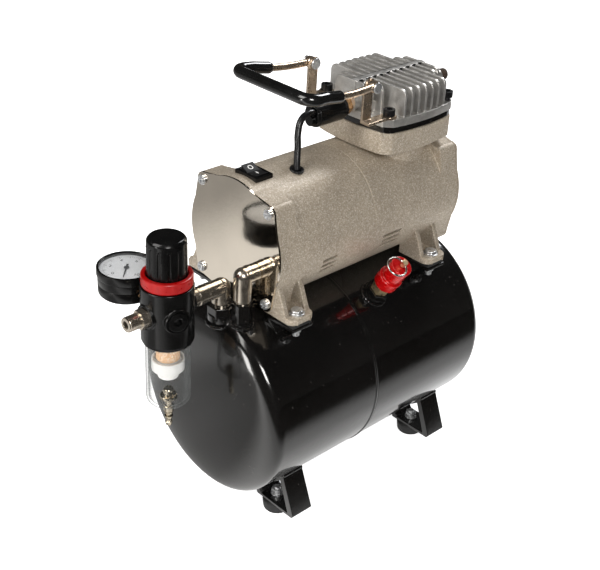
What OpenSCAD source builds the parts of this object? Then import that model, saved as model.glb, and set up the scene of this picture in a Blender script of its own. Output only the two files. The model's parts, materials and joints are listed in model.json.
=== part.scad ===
// Small oil-free air compressor: a motor and wobble-piston pump on a 3 litre air tank.
// X is the width, Y runs from the regulator end (-) to the tank's rear end (+), Z is up.
// The origin is on the ground, under the middle of the object.

/* [Air tank] */
// Outer radius of the tank shells
tank_r = 74.5; // [72:0.5:75]
// Height of the tank's axis above the ground
tank_z = 95; // [94:0.5:96]
// Thickness of the tank's sheet steel
tank_wall = 1.6; // [1.2:0.1:2.5]
// Where the two shells meet
seam_y = 22; // [18:1:26]
// Front end of the tank's straight part
tank_front_y = -68; // [-70:1:-66]
// Rear end of the tank's straight part
tank_rear_y = 130; // [128:1:132]
// How far the front end bulges
front_bulge = 17; // [14:1:18]
// How far the rear end bulges
rear_bulge = 20; // [16:1:20]

/* [Legs] */
// Width of the strap that the legs are bent from
strap_w = 19; // [16:1:22]
// Thickness of the strap
strap_t = 2.6; // [2:0.1:3]
// Position of the front leg along the tank
front_leg_y = -39.5; // [-42:0.5:-36]
// Position of the rear leg along the tank
rear_leg_y = 109.5; // [105:0.5:112]
// Distance of each rubber foot from the middle
foot_x = 38.8; // [36:0.2:42]
// Height of a rubber foot
foot_h = 10; // [9:0.5:10]
// Radius of a rubber foot
foot_r = 11; // [9:0.5:12]

/* [Motor] */
// Height of the motor shaft
motor_z = 213; // [212.5:0.5:214]
// Radius of the motor housing
motor_r = 45.3; // [44:0.1:46]
// Wall thickness of the two castings
cast_wall = 4; // [3.8:0.1:4.4]
// Front face of the front cover
motor_front_y = -54; // [-55:0.5:-53]
// Parting line of the two castings
parting_y = 36.5; // [35:0.5:38]
// Rear face of the rear cover
motor_rear_y = 126; // [125:0.5:127]
// Distance of each cover screw from the motor axis, across and up
screw_off = 33.3; // [33:0.1:34]
// Distance of the motor's foot bolts from the middle
foot_bolt_x = 49.5; // [48:0.5:51]
// Position of the front pair of foot bolts
foot_bolt_front_y = -40; // [-42:0.5:-38]
// Position of the rear pair of foot bolts
foot_bolt_rear_y = 95.5; // [94:0.5:97]

/* [Pump] */
// Position of the cylinder along the motor
pump_y = 86.5; // [85:0.5:88]
// Half width of the pump flange at the middle of a side
flange_half = 38.5; // [37:0.5:40]
// Distance of each head bolt from the cylinder axis, across and along
head_bolt_off = 30.3; // [30:0.1:31]
// Underside of the pump flange
flange_z = 259; // [258:0.5:260]
// Underside of the valve plate
plate_z = 274.8; // [274:0.2:275.4]
// Top of the cooling fins
fin_top_z = 304; // [300:1:306]
// Number of long fins
long_fins = 7; // [5:2:7]
// Distance from fin to fin
fin_pitch = 6.8; // [6.4:0.1:7]
// Thickness of a fin
fin_t = 2.2; // [1.8:0.1:2.6]
// Crank throw: half of the piston stroke
throw = 4; // [3:0.5:4]
// Bore of the cylinder sleeve
bore_r = 20; // [20:0.5:21]

/* [Handle] */
// Distance of the handle's pivots from the middle
pivot_x = 27.3; // [27:0.1:28]
// Position of the pivots along the object
pivot_y = 38.4; // [38:0.1:39]
// Height of the pivots
pivot_z = 311; // [310:0.5:312]
// Reach of the bail from the pivots to the middle of the grip
bail_reach = 64.5; // [58:0.5:67]
// Half width of the bail at the grip
bail_half = 36; // [34:0.5:37]
// Radius of the bail's wire
bail_wire_r = 2.5; // [2.2:0.1:2.7]
// Outer radius of the soft grip
grip_r = 4.1; // [4:0.1:4.6]
// Upward tilt of the resting bail in degrees
bail_tilt = 5; // [4:0.1:8]

/* [Regulator] */
// Distance of the regulator's axis from the middle
reg_x = 10; // [9.5:0.5:10.5]
// Position of the regulator's axis along the object
reg_y = -117.5; // [-119:0.5:-116]
// Height of the regulator's ports
port_z = 189.3; // [188.5:0.1:190]
// Radius of the regulator's body
reg_r = 17.5; // [17:0.1:18]
// Radius of the knob
knob_r = 12.8; // [12.4:0.1:13.2]
// Top of the knob
knob_top_z = 241.5; // [240:0.5:243]
// Radius of the clear bowl
bowl_r = 15; // [14.5:0.1:15.2]
// Underside of the clear bowl
bowl_z = 118; // [117:0.5:119]
// Distance from the regulator's axis to the gauge's axis
gauge_off = 44; // [43.5:0.5:45]
// Radius of the gauge
gauge_r = 20; // [19:0.5:20.5]

/* [Safety valve] */
// Lean of the valve from upright in degrees
valve_lean = 35; // [33:1:36]
// Position of the valve along the tank
valve_y = 43.5; // [40:0.5:46]

/* [Hidden] */
$fn = 64;
run_gap = 0.05;

// Where the air fittings stand on the tank
outlet_x = reg_x;
outlet_y = -73;
inlet_x = 23;
inlet_y = -65.5;
inlet_arm_z = 200.3;
drain_y = 60;
bung_top = 176;
inlet_bung_top = 181;
// Under the motor's feet
foot_pad_z = 167.8;
foot_under_z = tank_z + tank_r + 1.3;
// Sizes of the motor's inside
cover_t = 1.5;
cavity_r = motor_r - cast_wall;
shaft_r = 5;
bearing_r = 13;
fan_r = 22.5;
sleeve_r = 23;
ecc_r = 11;
ecc_z = motor_z + throw;
// Pressure switch and rocker switch
sw_z = 287;
sw_rear_y = 41;
rock_y = -38;
rock_z = motor_z + motor_r + 0.6;
// Bail of the handle: place of its eyes, and radius of its bends
bail_eye_x = pivot_x + 3.1;
bend_r = 8;
grip_start = 35;
// Heights of the head
plate_top = plate_z + 4.4;
deck_z = plate_top + 5.8;
intake_x = 14;
intake_z = 296.5;
// Regulator
body_bottom = 166;
body_top = 208;
ring_r = 16.8;
plug_turn = -16;
ring_top = 216;
baffle_z = 138;
gauge_x = reg_x - gauge_off;
dial_z = 199.5;
gauge_base_z = 182;
// Safety valve, measured outwards from the tank's axis
valve_hex = tank_r + 8.5;
valve_red = tank_r + 19.5;
valve_tip = tank_r + 41.5;
// Route of the pressure switch's cable
cable_r = 2.3;
cable_route = [[2, 13, 290], [2, 8, 290.5], [2.5, 3, 289.5], [3, -1, 286.5], [4, -3.5, 282],
    [6, -5, 276], [7.5, -6, 270], [9, -7.9, 264], [10.4, -9.2, 259.5], [10.9, -9.5, 257.2]];

// ---- shared shapes ----

// Cylinder along +Y from y0 to y1
module along_y(r, y0, y1) {
    translate([0, y0, 0]) rotate([-90, 0, 0]) cylinder(r = r, h = y1 - y0);
}

// Cylinder along +X from x0 to x1
module along_x(r, x0, x1) {
    translate([x0, 0, 0]) rotate([0, 90, 0]) cylinder(r = r, h = x1 - x0);
}

// Hexagon bar standing on the ground plane, af across its flats
module hex_bar(af, h) {
    cylinder(r = af / 2 / cos(30), h = h, $fn = 6);
}

// Mirror images left and right of the middle
module both_sides() {
    children();
    mirror([1, 0, 0]) children();
}

// The four corners of a square pattern
module four_corners(x, y) {
    for (sx = [-1, 1], sy = [-1, 1]) translate([sx * x, sy * y, 0]) children();
}

// A flat profile in X and Z, given thickness along Y from y0
module profile_y(y0, t) {
    translate([0, y0 + t, 0]) rotate([90, 0, 0]) linear_extrude(height = t) children();
}

// ---- tank ----

// Outline of a dished end: radius against depth, from the straight part to the nose
function dish(r, d, n) = [for (i = [0 : 16]) let (a = 90 * i / 16)
    [max(0, r * pow(cos(a), 2 / n)), d * pow(sin(a), 2 / n)]];
function reversed(v) = [for (i = [len(v) - 1 : -1 : 0]) v[i]];

// A tank end with its straight wall, revolved about Y; s is -1 for the front end, 1 for the rear
module tank_end(s, open_y, straight_y, bulge, n) {
    outer = [for (p = dish(tank_r, bulge, n)) [p[0], straight_y + s * p[1]]];
    inner = [for (p = dish(tank_r - tank_wall, bulge - tank_wall, n)) [p[0], straight_y + s * p[1]]];
    outline = concat([[tank_r - tank_wall, open_y], [tank_r, open_y]], outer, reversed(inner));
    translate([0, 0, tank_z]) rotate([-90, 0, 0]) rotate_extrude($fn = 96) polygon(outline);
}

module tank_front_shell() {
    color("#17181a") difference() {
        union() {
            tank_end(-1, seam_y, tank_front_y, front_bulge, 2.6);
            translate([0, seam_y - 1.1, tank_z]) rotate([-90, 0, 0]) rotate_extrude($fn = 96)
                translate([tank_r - 0.4, 0]) circle(r = 1.1);
        }
        translate([outlet_x, outlet_y, tank_z + 40]) cylinder(r = 5, h = 60);
        translate([inlet_x, inlet_y, tank_z + 40]) cylinder(r = 5, h = 60);
        // the rear shell's lip slides in here
        translate([0, 0, tank_z]) along_y(tank_r - tank_wall, seam_y - 12, seam_y + 5);
    }
}

module tank_rear_shell() {
    color("#17181a") difference() {
        union() {
            tank_end(1, seam_y + 0.2, tank_rear_y, rear_bulge, 2.3);
            translate([0, 0, tank_z]) difference() {
                along_y(tank_r - tank_wall, seam_y - 10, seam_y + 4);
                along_y(tank_r - 2 * tank_wall, seam_y - 11, seam_y + 5);
            }
        }
        translate([0, valve_y, tank_z]) rotate([0, valve_lean, 0]) cylinder(r = 5, h = 90);
        translate([0, drain_y, 0]) cylinder(r = 4.5, h = 40);
    }
}

// Everything inside the tank's outer skin
module tank_skin() {
    front = [for (p = reversed(dish(tank_r, front_bulge, 2.6))) [p[0], tank_front_y - p[1]]];
    translate([0, 0, tank_z]) rotate([-90, 0, 0]) rotate_extrude($fn = 96)
        polygon(concat(front, [[tank_r, tank_rear_y], [0, tank_rear_y]]));
}

// A threaded bung that starts inside the wall of the tank and has a hexagonal top
module bung(af, z0, z1) {
    difference() {
        union() {
            translate([0, 0, z0]) cylinder(r = 5, h = 8);
            translate([0, 0, z0 + 3]) cylinder(r = af / 2 + 1, h = 5);
            translate([0, 0, z0 + 6]) hex_bar(af, z1 - z0 - 6);
        }
        translate([0, 0, z0 - 1]) cylinder(r = 3, h = z1 - z0 + 2);
    }
}

module tank_bungs() {
    color("#1d1e20") {
        difference() {
            union() {
                translate([outlet_x, outlet_y, 0]) bung(16, 162, bung_top);
                translate([inlet_x, inlet_y, 0]) bung(13, 159, inlet_bung_top);
                translate([0, valve_y, tank_z]) rotate([0, valve_lean, 0]) bung(15, tank_r - 4, valve_hex);
            }
            // nothing but the threaded spigots reaches through the tank's skin
            difference() {
                tank_skin();
                translate([outlet_x, outlet_y, tank_z]) cylinder(r = 5, h = 90);
                translate([inlet_x, inlet_y, tank_z]) cylinder(r = 5, h = 90);
                translate([0, valve_y, tank_z]) rotate([0, valve_lean, 0]) cylinder(r = 5, h = 90);
            }
        }
        difference() {
            translate([0, drain_y, 14]) union() {
                cylinder(r = 4.5, h = 10);
                hex_bar(15, 6.3);
            }
            translate([0, drain_y, 10]) cylinder(r = 3, h = 20);
        }
    }
}

module drain_screw() {
    color("#c2a35a") translate([0, drain_y, 0]) {
        translate([0, 0, 12]) cylinder(r = 3 - run_gap, h = 10);
        translate([0, 0, 9.5]) cylinder(r = 5, h = 4);
        translate([-7, -0.9, 5.5]) cube([14, 1.8, 5]);
    }
}

// ---- legs ----

// One leg: a strap that follows the tank's underside and turns down into a foot on each side
module leg(y) {
    band_a = 45;
    reach = 1.5 * (tank_r + strap_t);
    foot_in = 27;
    color("#1a1b1d") difference() {
        translate([0, y - strap_w / 2, 0]) {
            // saddle under the tank
            intersection() {
                translate([0, 0, tank_z]) difference() {
                    along_y(tank_r + strap_t, 0, strap_w);
                    along_y(tank_r, -1, strap_w + 1);
                }
                profile_y(0, strap_w) polygon([[0, tank_z],
                    [-reach * sin(band_a), tank_z - reach * cos(band_a)],
                    [reach * sin(band_a), tank_z - reach * cos(band_a)]]);
            }
            both_sides() {
                // outer leg, sloping out and down
                profile_y(0, strap_w) polygon([[50.6, 43.2], [54.4, 40.8], [66.2, 12.4], [64.5, foot_h],
                    [61, foot_h], [50.2, 38.2]]);
                // foot plate
                profile_y(0, strap_w) translate([foot_in, foot_h]) square([37, strap_t]);
                // riser back up to the tank
                profile_y(0, strap_w) polygon([[foot_in, foot_h], [foot_in + strap_t + 2, foot_h + strap_t],
                    [23.6, 23.6], [20.6, 21.6]]);
            }
        }
        // the strap lies on the tank and doesn't enter it
        translate([0, 0, tank_z]) along_y(tank_r, y - strap_w, y + strap_w);
        for (s = [-1, 1]) translate([s * foot_x, y, 0]) cylinder(r = 2.6, h = 20);
    }
}

module front_leg() {
    leg(front_leg_y);
}

module rear_leg() {
    leg(rear_leg_y);
}

// One thing at each of the four rubber feet
module at_feet() {
    for (y = [front_leg_y, rear_leg_y], s = [-1, 1]) translate([s * foot_x, y, 0]) children();
}

module rubber_feet() {
    color("#2b2a29") at_feet() rotate_extrude() difference() {
        polygon([[2.5, 0], [foot_r - 2, 0], [foot_r - 1, 1], [foot_r, foot_h - 1.5], [foot_r - 1.5, foot_h],
            [2.5, foot_h]]);
        square([5.5, 3.5]);
    }
}

module foot_bolts() {
    color("#c9ccd0") at_feet() {
        translate([0, 0, 1]) cylinder(r = 4.5, h = 2.5);
        translate([0, 0, 2]) cylinder(r = 2.5, h = 17);
        translate([0, 0, foot_h + strap_t]) cylinder(r = 5, h = 0.9);
        translate([0, 0, foot_h + strap_t + 0.9]) hex_bar(8, 4);
    }
}

// ---- motor mounting ----

// One thing at each of the motor's four foot bolts; the -X side is mirrored
module at_motor_feet() {
    for (y = [foot_bolt_front_y, foot_bolt_rear_y]) both_sides() translate([foot_bolt_x, y, 0]) children();
}

module motor_cradles() {
    color("#191a1c") difference() {
        for (y = [foot_bolt_front_y, foot_bolt_rear_y]) both_sides() profile_y(y - 9, 18)
            polygon([[27, foot_pad_z - 2.5], [30, foot_pad_z - 2.5], [36, 157], [43, 151], [45.5, 152.5],
                [38.5, 159.5], [33, foot_pad_z - 2.5], [56, foot_pad_z - 2.5],
                [56, foot_pad_z], [27, foot_pad_z]]);
        translate([0, 0, tank_z]) along_y(tank_r, -70, 130, $fn = 192);
        at_motor_feet() translate([0, 0, 140]) cylinder(r = 2.6, h = 40);
    }
}

module cradle_pads() {
    color("#232323") at_motor_feet() difference() {
        translate([-10, -8.5, foot_pad_z]) cube([16, 17, foot_under_z - foot_pad_z]);
        translate([0, 0, 150]) cylinder(r = 2.5, h = 40);
    }
}

module motor_foot_bolts() {
    color("#cfd2d6") at_motor_feet() {
        translate([0, 0, 157.5]) cylinder(r = 2.5, h = 18.5);
        translate([0, 0, foot_under_z + 4.2]) cylinder(r = 5.5, h = 0.9);
        translate([0, 0, foot_under_z + 5.1]) cylinder(r = 4.4, h = 2.4);
        translate([0, 0, foot_pad_z - 6]) hex_bar(8, 3.5);
    }
}

// A cast foot on the +X side, centred on its bolt: a flat plate with two webs
module cast_foot(y) {
    difference() {
        union() {
            translate([0, y, foot_under_z]) linear_extrude(height = 4.2) {
                translate([28, -11]) square([22.5, 22]);
                translate([28, -6]) square([28.5, 12]);
                for (s = [-1, 1]) translate([50.5, s * 5]) circle(r = 6);
            }
            for (y0 = [-11, 7]) profile_y(y + y0, 4)
                polygon([[28, foot_under_z], [50, foot_under_z], [50, foot_under_z + 4.4],
                    [43.5, foot_under_z + 20], [39, foot_under_z + 26], [28, foot_under_z + 15]]);
        }
        translate([foot_bolt_x, y, 150]) cylinder(r = 2.6, h = 40);
        translate([foot_bolt_x, y, foot_under_z + 4.2]) cylinder(r = 6, h = 30);
    }
}

// ---- motor castings ----

// Bar along Y about the motor's axis: a round body with four screw lobes joined to it by flat flanks
module lobed_bar(y0, y1, r, lobe) {
    c = screw_off * sqrt(2);
    a = acos((r - lobe) / c);
    root = r - 1.2;
    tip = lobe - 0.25;
    translate([0, 0, motor_z]) {
        along_y(r, y0, y1);
        for (k = [0 : 3]) rotate([0, 45 + 90 * k, 0]) {
            translate([c, 0, 0]) along_y(lobe, y0, y1);
            // flanks; their inner edge stays within the casting's wall
            profile_y(y0, y1 - y0) polygon(concat(
                [for (i = [-4 : 4]) root * [cos((a + 4) * i / 4), sin((a + 4) * i / 4)]],
                [[c + tip * cos(a), tip * sin(a)], [c + tip * cos(a), -tip * sin(a)]]));
        }
    }
}

// Half space under the castings' flat floor
module below_floor() {
    translate([-100, -100, foot_under_z - 60]) cube([200, 300, 60]);
}

// Cover screw positions about the motor's axis
module at_cover_screws() {
    for (sx = [-1, 1], sz = [-1, 1]) translate([sx * screw_off, 0, motor_z + sz * screw_off]) children();
}

// Three slots through each side wall, stacked round the casting
module vent_slots(y0, y1) {
    both_sides() for (a = [-14, -20, -26]) translate([0, 0, motor_z]) rotate([0, -a, 0])
        translate([motor_r - 10, y0, -1.1]) cube([16, y1 - y0, 2.2]);
}

module motor_housing() {
    front = motor_front_y + cover_t;
    color("#b9b2a6") difference() {
        union() {
            translate([0, 0, motor_z]) along_y(motor_r, front, parting_y);
            lobed_bar(front, front + 17, motor_r, 5.5);
            both_sides() cast_foot(foot_bolt_front_y);
        }
        difference() {
            translate([0, 0, motor_z]) along_y(cavity_r, front - 1, parting_y + 1);
            // spider that carries the front bearing
            translate([0, 0, motor_z]) intersection() {
                along_y(cavity_r + 1, -28, -23);
                union() {
                    along_y(bearing_r + 4, -28, -23);
                    for (k = [0 : 2]) rotate([0, 120 * k + 30, 0]) translate([-5, -28, 0])
                        cube([10, 5, cavity_r + 1]);
                }
            }
            translate([-cavity_r, -100, foot_under_z - 5]) cube([2 * cavity_r, 300, 7.5]);
        }
        translate([0, 0, motor_z]) along_y(bearing_r, -30, -20);
        below_floor();
        vent_slots(-12, 2);
        at_cover_screws() along_y(1.8, front - 1, front + 12);
        // openings for the rocker switch and the cable
        translate([-9.5, -44.5, motor_z + 30]) cube([19, 13, 30]);
        translate([0, -9.6, motor_z]) rotate([0, 14, 0]) cylinder(r = 3.6, h = 60);
    }
}

// Bowed square of the pump flange
module bowed_square(half) {
    side_r = 150;
    intersection() {
        translate([half - side_r, 0]) circle(r = side_r, $fn = 128);
        translate([side_r - half, 0]) circle(r = side_r, $fn = 128);
        translate([0, half - side_r]) circle(r = side_r, $fn = 128);
        translate([0, side_r - half]) circle(r = side_r, $fn = 128);
        circle(r = half + 8, $fn = 96);
    }
}

module at_head_bolts() {
    translate([0, pump_y, 0]) four_corners(head_bolt_off, head_bolt_off) children();
}

module crankcase() {
    rear = motor_rear_y - cover_t;
    color("#b9b2a6") difference() {
        union() {
            difference() {
                union() {
                    translate([0, 0, motor_z]) along_y(motor_r, parting_y, rear);
                    lobed_bar(rear - 17, rear, motor_r, 5.5);
                    both_sides() cast_foot(foot_bolt_rear_y);
                    translate([0, pump_y, motor_z + 20]) cylinder(r = 31, h = flange_z - motor_z - 20);
                }
                difference() {
                    translate([0, 0, motor_z]) along_y(cavity_r, parting_y + 4, rear + 1);
                    translate([0, pump_y, motor_z + 24]) cylinder(r = sleeve_r + 3, h = 40);
                    translate([-cavity_r, -100, foot_under_z - 5]) cube([2 * cavity_r, 300, 7.5]);
                }
            }
            translate([0, pump_y, flange_z]) linear_extrude(height = plate_z - flange_z)
                bowed_square(flange_half);
        }
        translate([0, pump_y, motor_z + 10]) cylinder(r = sleeve_r, h = 100);
        translate([0, 0, motor_z]) along_y(bearing_r, parting_y - 1, parting_y + 5);
        below_floor();
        vent_slots(47, 66);
        at_head_bolts() translate([0, 0, plate_z - 12]) cylinder(r = 2.5, h = 20);
        at_cover_screws() along_y(1.8, rear - 12, rear + 1);
    }
}

module front_cover() {
    color("#d9d4ca") difference() {
        lobed_bar(motor_front_y, motor_front_y + cover_t, motor_r, 5.5);
        below_floor();
        at_cover_screws() along_y(1.8, motor_front_y - 1, motor_front_y + 3);
        translate([inlet_x, 0, inlet_arm_z]) along_y(5, motor_front_y - 1, motor_front_y + 3);
    }
}

module rear_cover() {
    color("#b9b2a6") difference() {
        lobed_bar(motor_rear_y - cover_t, motor_rear_y, motor_r, 5.5);
        below_floor();
        at_cover_screws() along_y(1.8, motor_rear_y - 3, motor_rear_y + 1);
        // ring of air slots
        for (k = [0 : 11]) translate([0, motor_rear_y - 3, motor_z]) rotate([0, 30 * k, 0])
            translate([-2, 0, 14]) cube([4, 5, 18]);
    }
}

// A pan head screw along Y with its head at the origin; s is the way the head faces
module pan_screw(s) {
    mirror([0, s > 0 ? 1 : 0, 0]) difference() {
        union() {
            along_y(1.8, -1, 10);
            along_y(3.6, -1.5, 0);
            along_y(2.8, -2.4, -1.5);
        }
        for (a = [0, 90]) rotate([0, a, 0]) translate([-0.5, -3, -2]) cube([1, 2, 4]);
    }
}

module cover_screws() {
    color("#cfd2d6") {
        at_cover_screws() translate([0, motor_front_y, 0]) pan_screw(-1);
        at_cover_screws() translate([0, motor_rear_y, 0]) pan_screw(1);
    }
}

// ---- inside the motor ----

module shaft_bearings() {
    color("#aeb4ba") translate([0, 0, motor_z]) for (y = [-28, parting_y - 1]) difference() {
        along_y(bearing_r, y, y + 5);
        along_y(shaft_r + run_gap, y - 1, y + 6);
    }
}

module stator_core() {
    color("#6f7478") difference() {
        translate([0, 0, motor_z]) along_y(cavity_r - 0.1, -8, 26);
        translate([0, 0, motor_z]) along_y(24, -9, 27);
        translate([-50, -10, motor_z - 62]) cube([100, 40, 62 - 39.4]);
        // winding slots
        translate([0, 0, motor_z]) for (k = [0 : 11]) rotate([0, 30 * k + 15, 0])
            translate([-2.5, -9, 20]) cube([5, 36, 14]);
    }
}

module stator_windings() {
    color("#b06a35") translate([0, 0, motor_z]) {
        for (y = [-16, 26]) difference() {
            along_y(35, y, y + 8);
            along_y(26, y - 1, y + 9);
        }
        for (k = [0 : 11]) rotate([0, 30 * k + 15, 0]) translate([-2, -10, 27]) cube([4, 38, 6]);
    }
}

module rotor() {
    color("#7c8085") translate([0, 0, motor_z]) difference() {
        union() {
            along_y(22.5, -8, 26);
            along_y(19, -12, 30);
        }
        along_y(shaft_r, -13, 31);
    }
}

module motor_shaft() {
    color("#c4c8cc") translate([0, 0, motor_z]) along_y(shaft_r, -33, 119);
}

module cooling_fan() {
    color("#2e2f31") translate([0, 0, motor_z]) difference() {
        union() {
            along_y(11, 106, 117);
            along_y(fan_r, 106, 107.6);
            for (k = [0 : 8]) rotate([0, 40 * k, 0]) translate([-0.8, 106, 9]) cube([1.6, 11, fan_r - 9.4]);
        }
        along_y(shaft_r, 105, 118);
    }
}

module crank_eccentric() {
    color("#8d9297") difference() {
        union() {
            translate([0, 0, ecc_z]) along_y(ecc_r, pump_y - 5, pump_y + 5);
            translate([0, 0, ecc_z]) along_y(ecc_r + 2, pump_y - 7, pump_y - 5);
            // counterweight below the shaft
            translate([0, 0, motor_z]) intersection() {
                along_y(24, pump_y + 6, pump_y + 13);
                translate([-18, pump_y + 5, -26]) cube([36, 10, 30]);
            }
            translate([0, 0, motor_z]) along_y(9, pump_y + 5, pump_y + 13);
        }
        translate([0, 0, motor_z]) along_y(shaft_r, pump_y - 10, pump_y + 20);
    }
}

module piston_rod() {
    rod_top = plate_z - 5;
    color("#a7abb0") difference() {
        union() {
            translate([0, 0, ecc_z]) along_y(ecc_r + 5, pump_y - 4.5, pump_y + 4.5);
            translate([-5, pump_y - 4, ecc_z + 10]) cube([10, 8, rod_top - ecc_z - 14]);
            translate([0, pump_y, rod_top - 5]) cylinder(r = 15.5, h = 5);
            translate([0, pump_y, rod_top]) cylinder(r = 10, h = 1.2);
        }
        translate([0, 0, ecc_z]) along_y(ecc_r + run_gap, pump_y - 6, pump_y + 6);
    }
}

module piston_cup() {
    rod_top = plate_z - 5;
    color("#3a3632") translate([0, pump_y, 0]) difference() {
        union() {
            translate([0, 0, rod_top]) cylinder(r = bore_r - 0.1, h = 1.2);
            translate([0, 0, rod_top - 3]) cylinder(r = bore_r - 0.1, h = 3.5);
        }
        translate([0, 0, rod_top - 4]) cylinder(r = bore_r - 1.3, h = 4);
        translate([0, 0, rod_top - 6]) cylinder(r = 10, h = 20);
    }
}

module cylinder_sleeve() {
    color("#9aa0a6") translate([0, pump_y, 0]) difference() {
        translate([0, 0, motor_z + 33]) cylinder(r = sleeve_r, h = plate_z - motor_z - 33);
        cylinder(r = bore_r, h = 400);
    }
}

// ---- pump head ----

module valve_plate() {
    color("#141517") translate([0, pump_y, 0]) difference() {
        translate([0, 0, plate_z]) linear_extrude(height = plate_top - plate_z)
            bowed_square(flange_half - 0.8);
        four_corners(head_bolt_off, head_bolt_off) translate([0, 0, plate_z - 1]) cylinder(r = 2.5, h = 9);
        for (s = [-1, 1]) translate([s * 9, 0, plate_z - 1]) cylinder(r = 3, h = 9);
    }
}

// One fin: an upright plate with rounded upper corners, centred on x = 0
module fin(half, y, top) {
    corner = 5;
    profile_y(y - fin_t / 2, fin_t) {
        translate([-half, deck_z - 1]) square([2 * half, top - deck_z + 1 - corner]);
        translate([-half + corner, deck_z - 1]) square([2 * (half - corner), top - deck_z + 1]);
        for (s = [-1, 1]) translate([s * (half - corner), top - corner]) circle(r = corner);
    }
}

module cylinder_head() {
    half = (long_fins - 1) / 2;
    color("#c6c6c4") translate([0, pump_y, 0]) difference() {
        union() {
            translate([0, 0, plate_top]) linear_extrude(height = deck_z - plate_top)
                bowed_square(flange_half);
            for (k = [-half : half]) fin(flange_half - 1.6 - 0.25 * abs(k), k * fin_pitch, fin_top_z);
            for (s = [-1, 1], k = [1, 2]) fin(24 - 3 * k, s * (half + k) * fin_pitch, fin_top_z);
            // core and central rib
            translate([-15, -31, deck_z - 1]) cube([30, 62, 8]);
            translate([-2.5, -36, deck_z - 1]) cube([5, 72, fin_top_z - deck_z + 1.4]);
            // outlet boss in front, inlet boss behind
            translate([0, 0, 289.3]) along_y(7.5, -40, -30);
            translate([intake_x, 0, intake_z]) along_y(4.8, 28, 38);
        }
        translate([0, 0, 287]) along_y(3, -41, -20);
        translate([intake_x, 0, intake_z]) along_y(3, 30, 39);
        four_corners(head_bolt_off, head_bolt_off) {
            translate([0, 0, plate_z]) cylinder(r = 2.6, h = 12);
            translate([0, 0, deck_z]) cylinder(r = 6.2, h = 40);
        }
    }
}

module head_bolts() {
    color("#1c1d1f") at_head_bolts() difference() {
        union() {
            translate([0, 0, plate_z - 11]) cylinder(r = 2.5, h = deck_z - plate_z + 13);
            translate([0, 0, deck_z + 2]) cylinder(r = 4.2, h = 4.6);
        }
        translate([0, 0, deck_z + 4]) hex_bar(4, 6);
    }
}

module intake_filter() {
    color("#5a4632") translate([intake_x, pump_y, intake_z]) difference() {
        union() {
            along_y(3, 31, 40);
            translate([0, 38, 0]) rotate([-90, 0, 0]) hex_bar(8, 3);
            along_y(4.2, 41, 44.5);
        }
        along_y(1.8, 30, 43);
    }
}

// ---- pressure switch and cable ----

module pressure_switch() {
    color("#101113") translate([0, 0, sw_z]) difference() {
        union() {
            along_y(8.5, 14, sw_rear_y - 3);
            along_y(7.6, sw_rear_y - 3, sw_rear_y);
            along_y(7.2, 12.5, 14);
            translate([0, 0, -3]) along_y(4, 10, 13);
        }
        translate([2, 12, 3]) rotate([-90, 0, 0]) cylinder(r = cable_r + 0.4, h = 4);
        along_y(3, sw_rear_y - 8, sw_rear_y + 1);
    }
}

module switch_nipple() {
    color("#b98a55") translate([0, 0, sw_z]) difference() {
        union() {
            along_y(3, sw_rear_y - 8, pump_y - 26);
            translate([0, sw_rear_y, 0]) rotate([-90, 0, 0]) hex_bar(11, pump_y - 40 - sw_rear_y);
        }
        along_y(1.5, sw_rear_y - 9, pump_y - 25);
    }
}

// Unit direction of a route at point i
function way(route, i) = let (a = route[max(i - 1, 0)], b = route[min(i + 1, len(route) - 1)])
    (b - a) / norm(b - a);
// Ring of n points about point i of a route; side is square to the route or nearly so
function ring_at(route, i, r, n, side) = let (w = way(route, i), u = cross(w, side) / norm(cross(w, side)),
    v = cross(w, u)) [for (k = [0 : n - 1]) route[i] + r * (cos(360 * k / n) * u + sin(360 * k / n) * v)];
// Four-sided faces between ring a and ring b, whose points start at these places in the list
function skin(a, b, n) = [for (k = [0 : n - 1]) [a + k, b + k, b + (k + 1) % n, a + (k + 1) % n]];

// Solid round rod along a route
module swept_rod(route, r, n, side = [0, 0, 1]) {
    m = len(route);
    polyhedron(points = [for (i = [0 : m - 1]) each ring_at(route, i, r, n, side)],
        faces = concat([[for (k = [0 : n - 1]) k]], [for (i = [0 : m - 2]) each skin(i * n, (i + 1) * n, n)],
            [[for (k = [n - 1 : -1 : 0]) (m - 1) * n + k]]));
}

// Round tube along a route, open at both ends
module swept_tube(route, r_out, r_in, n, side = [0, 0, 1]) {
    m = len(route);
    inner = m * n;
    polyhedron(points = concat([for (i = [0 : m - 1]) each ring_at(route, i, r_out, n, side)],
            [for (i = [0 : m - 1]) each ring_at(route, i, r_in, n, side)]),
        faces = concat([for (i = [0 : m - 2]) each skin(i * n, (i + 1) * n, n)],
            [for (i = [0 : m - 2]) each skin(inner + (i + 1) * n, inner + i * n, n)],
            skin(inner, 0, n), skin((m - 1) * n, inner + (m - 1) * n, n)));
}

module switch_cable() {
    color("#0d0d0f") swept_rod(cable_route, cable_r, 8, [1, 0, 0]);
}

module cable_grommet() {
    color("#0e0f11") translate([0, -9.6, motor_z]) rotate([0, 14, 0]) difference() {
        union() {
            translate([0, 0, motor_r]) cylinder(r = 5, h = 1.3);
            translate([0, 0, cavity_r]) cylinder(r = 3.6, h = cast_wall + 0.4);
        }
        translate([0, 0, 30]) cylinder(r = 3.1, h = 30);
    }
}

// ---- rocker switch ----

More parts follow.
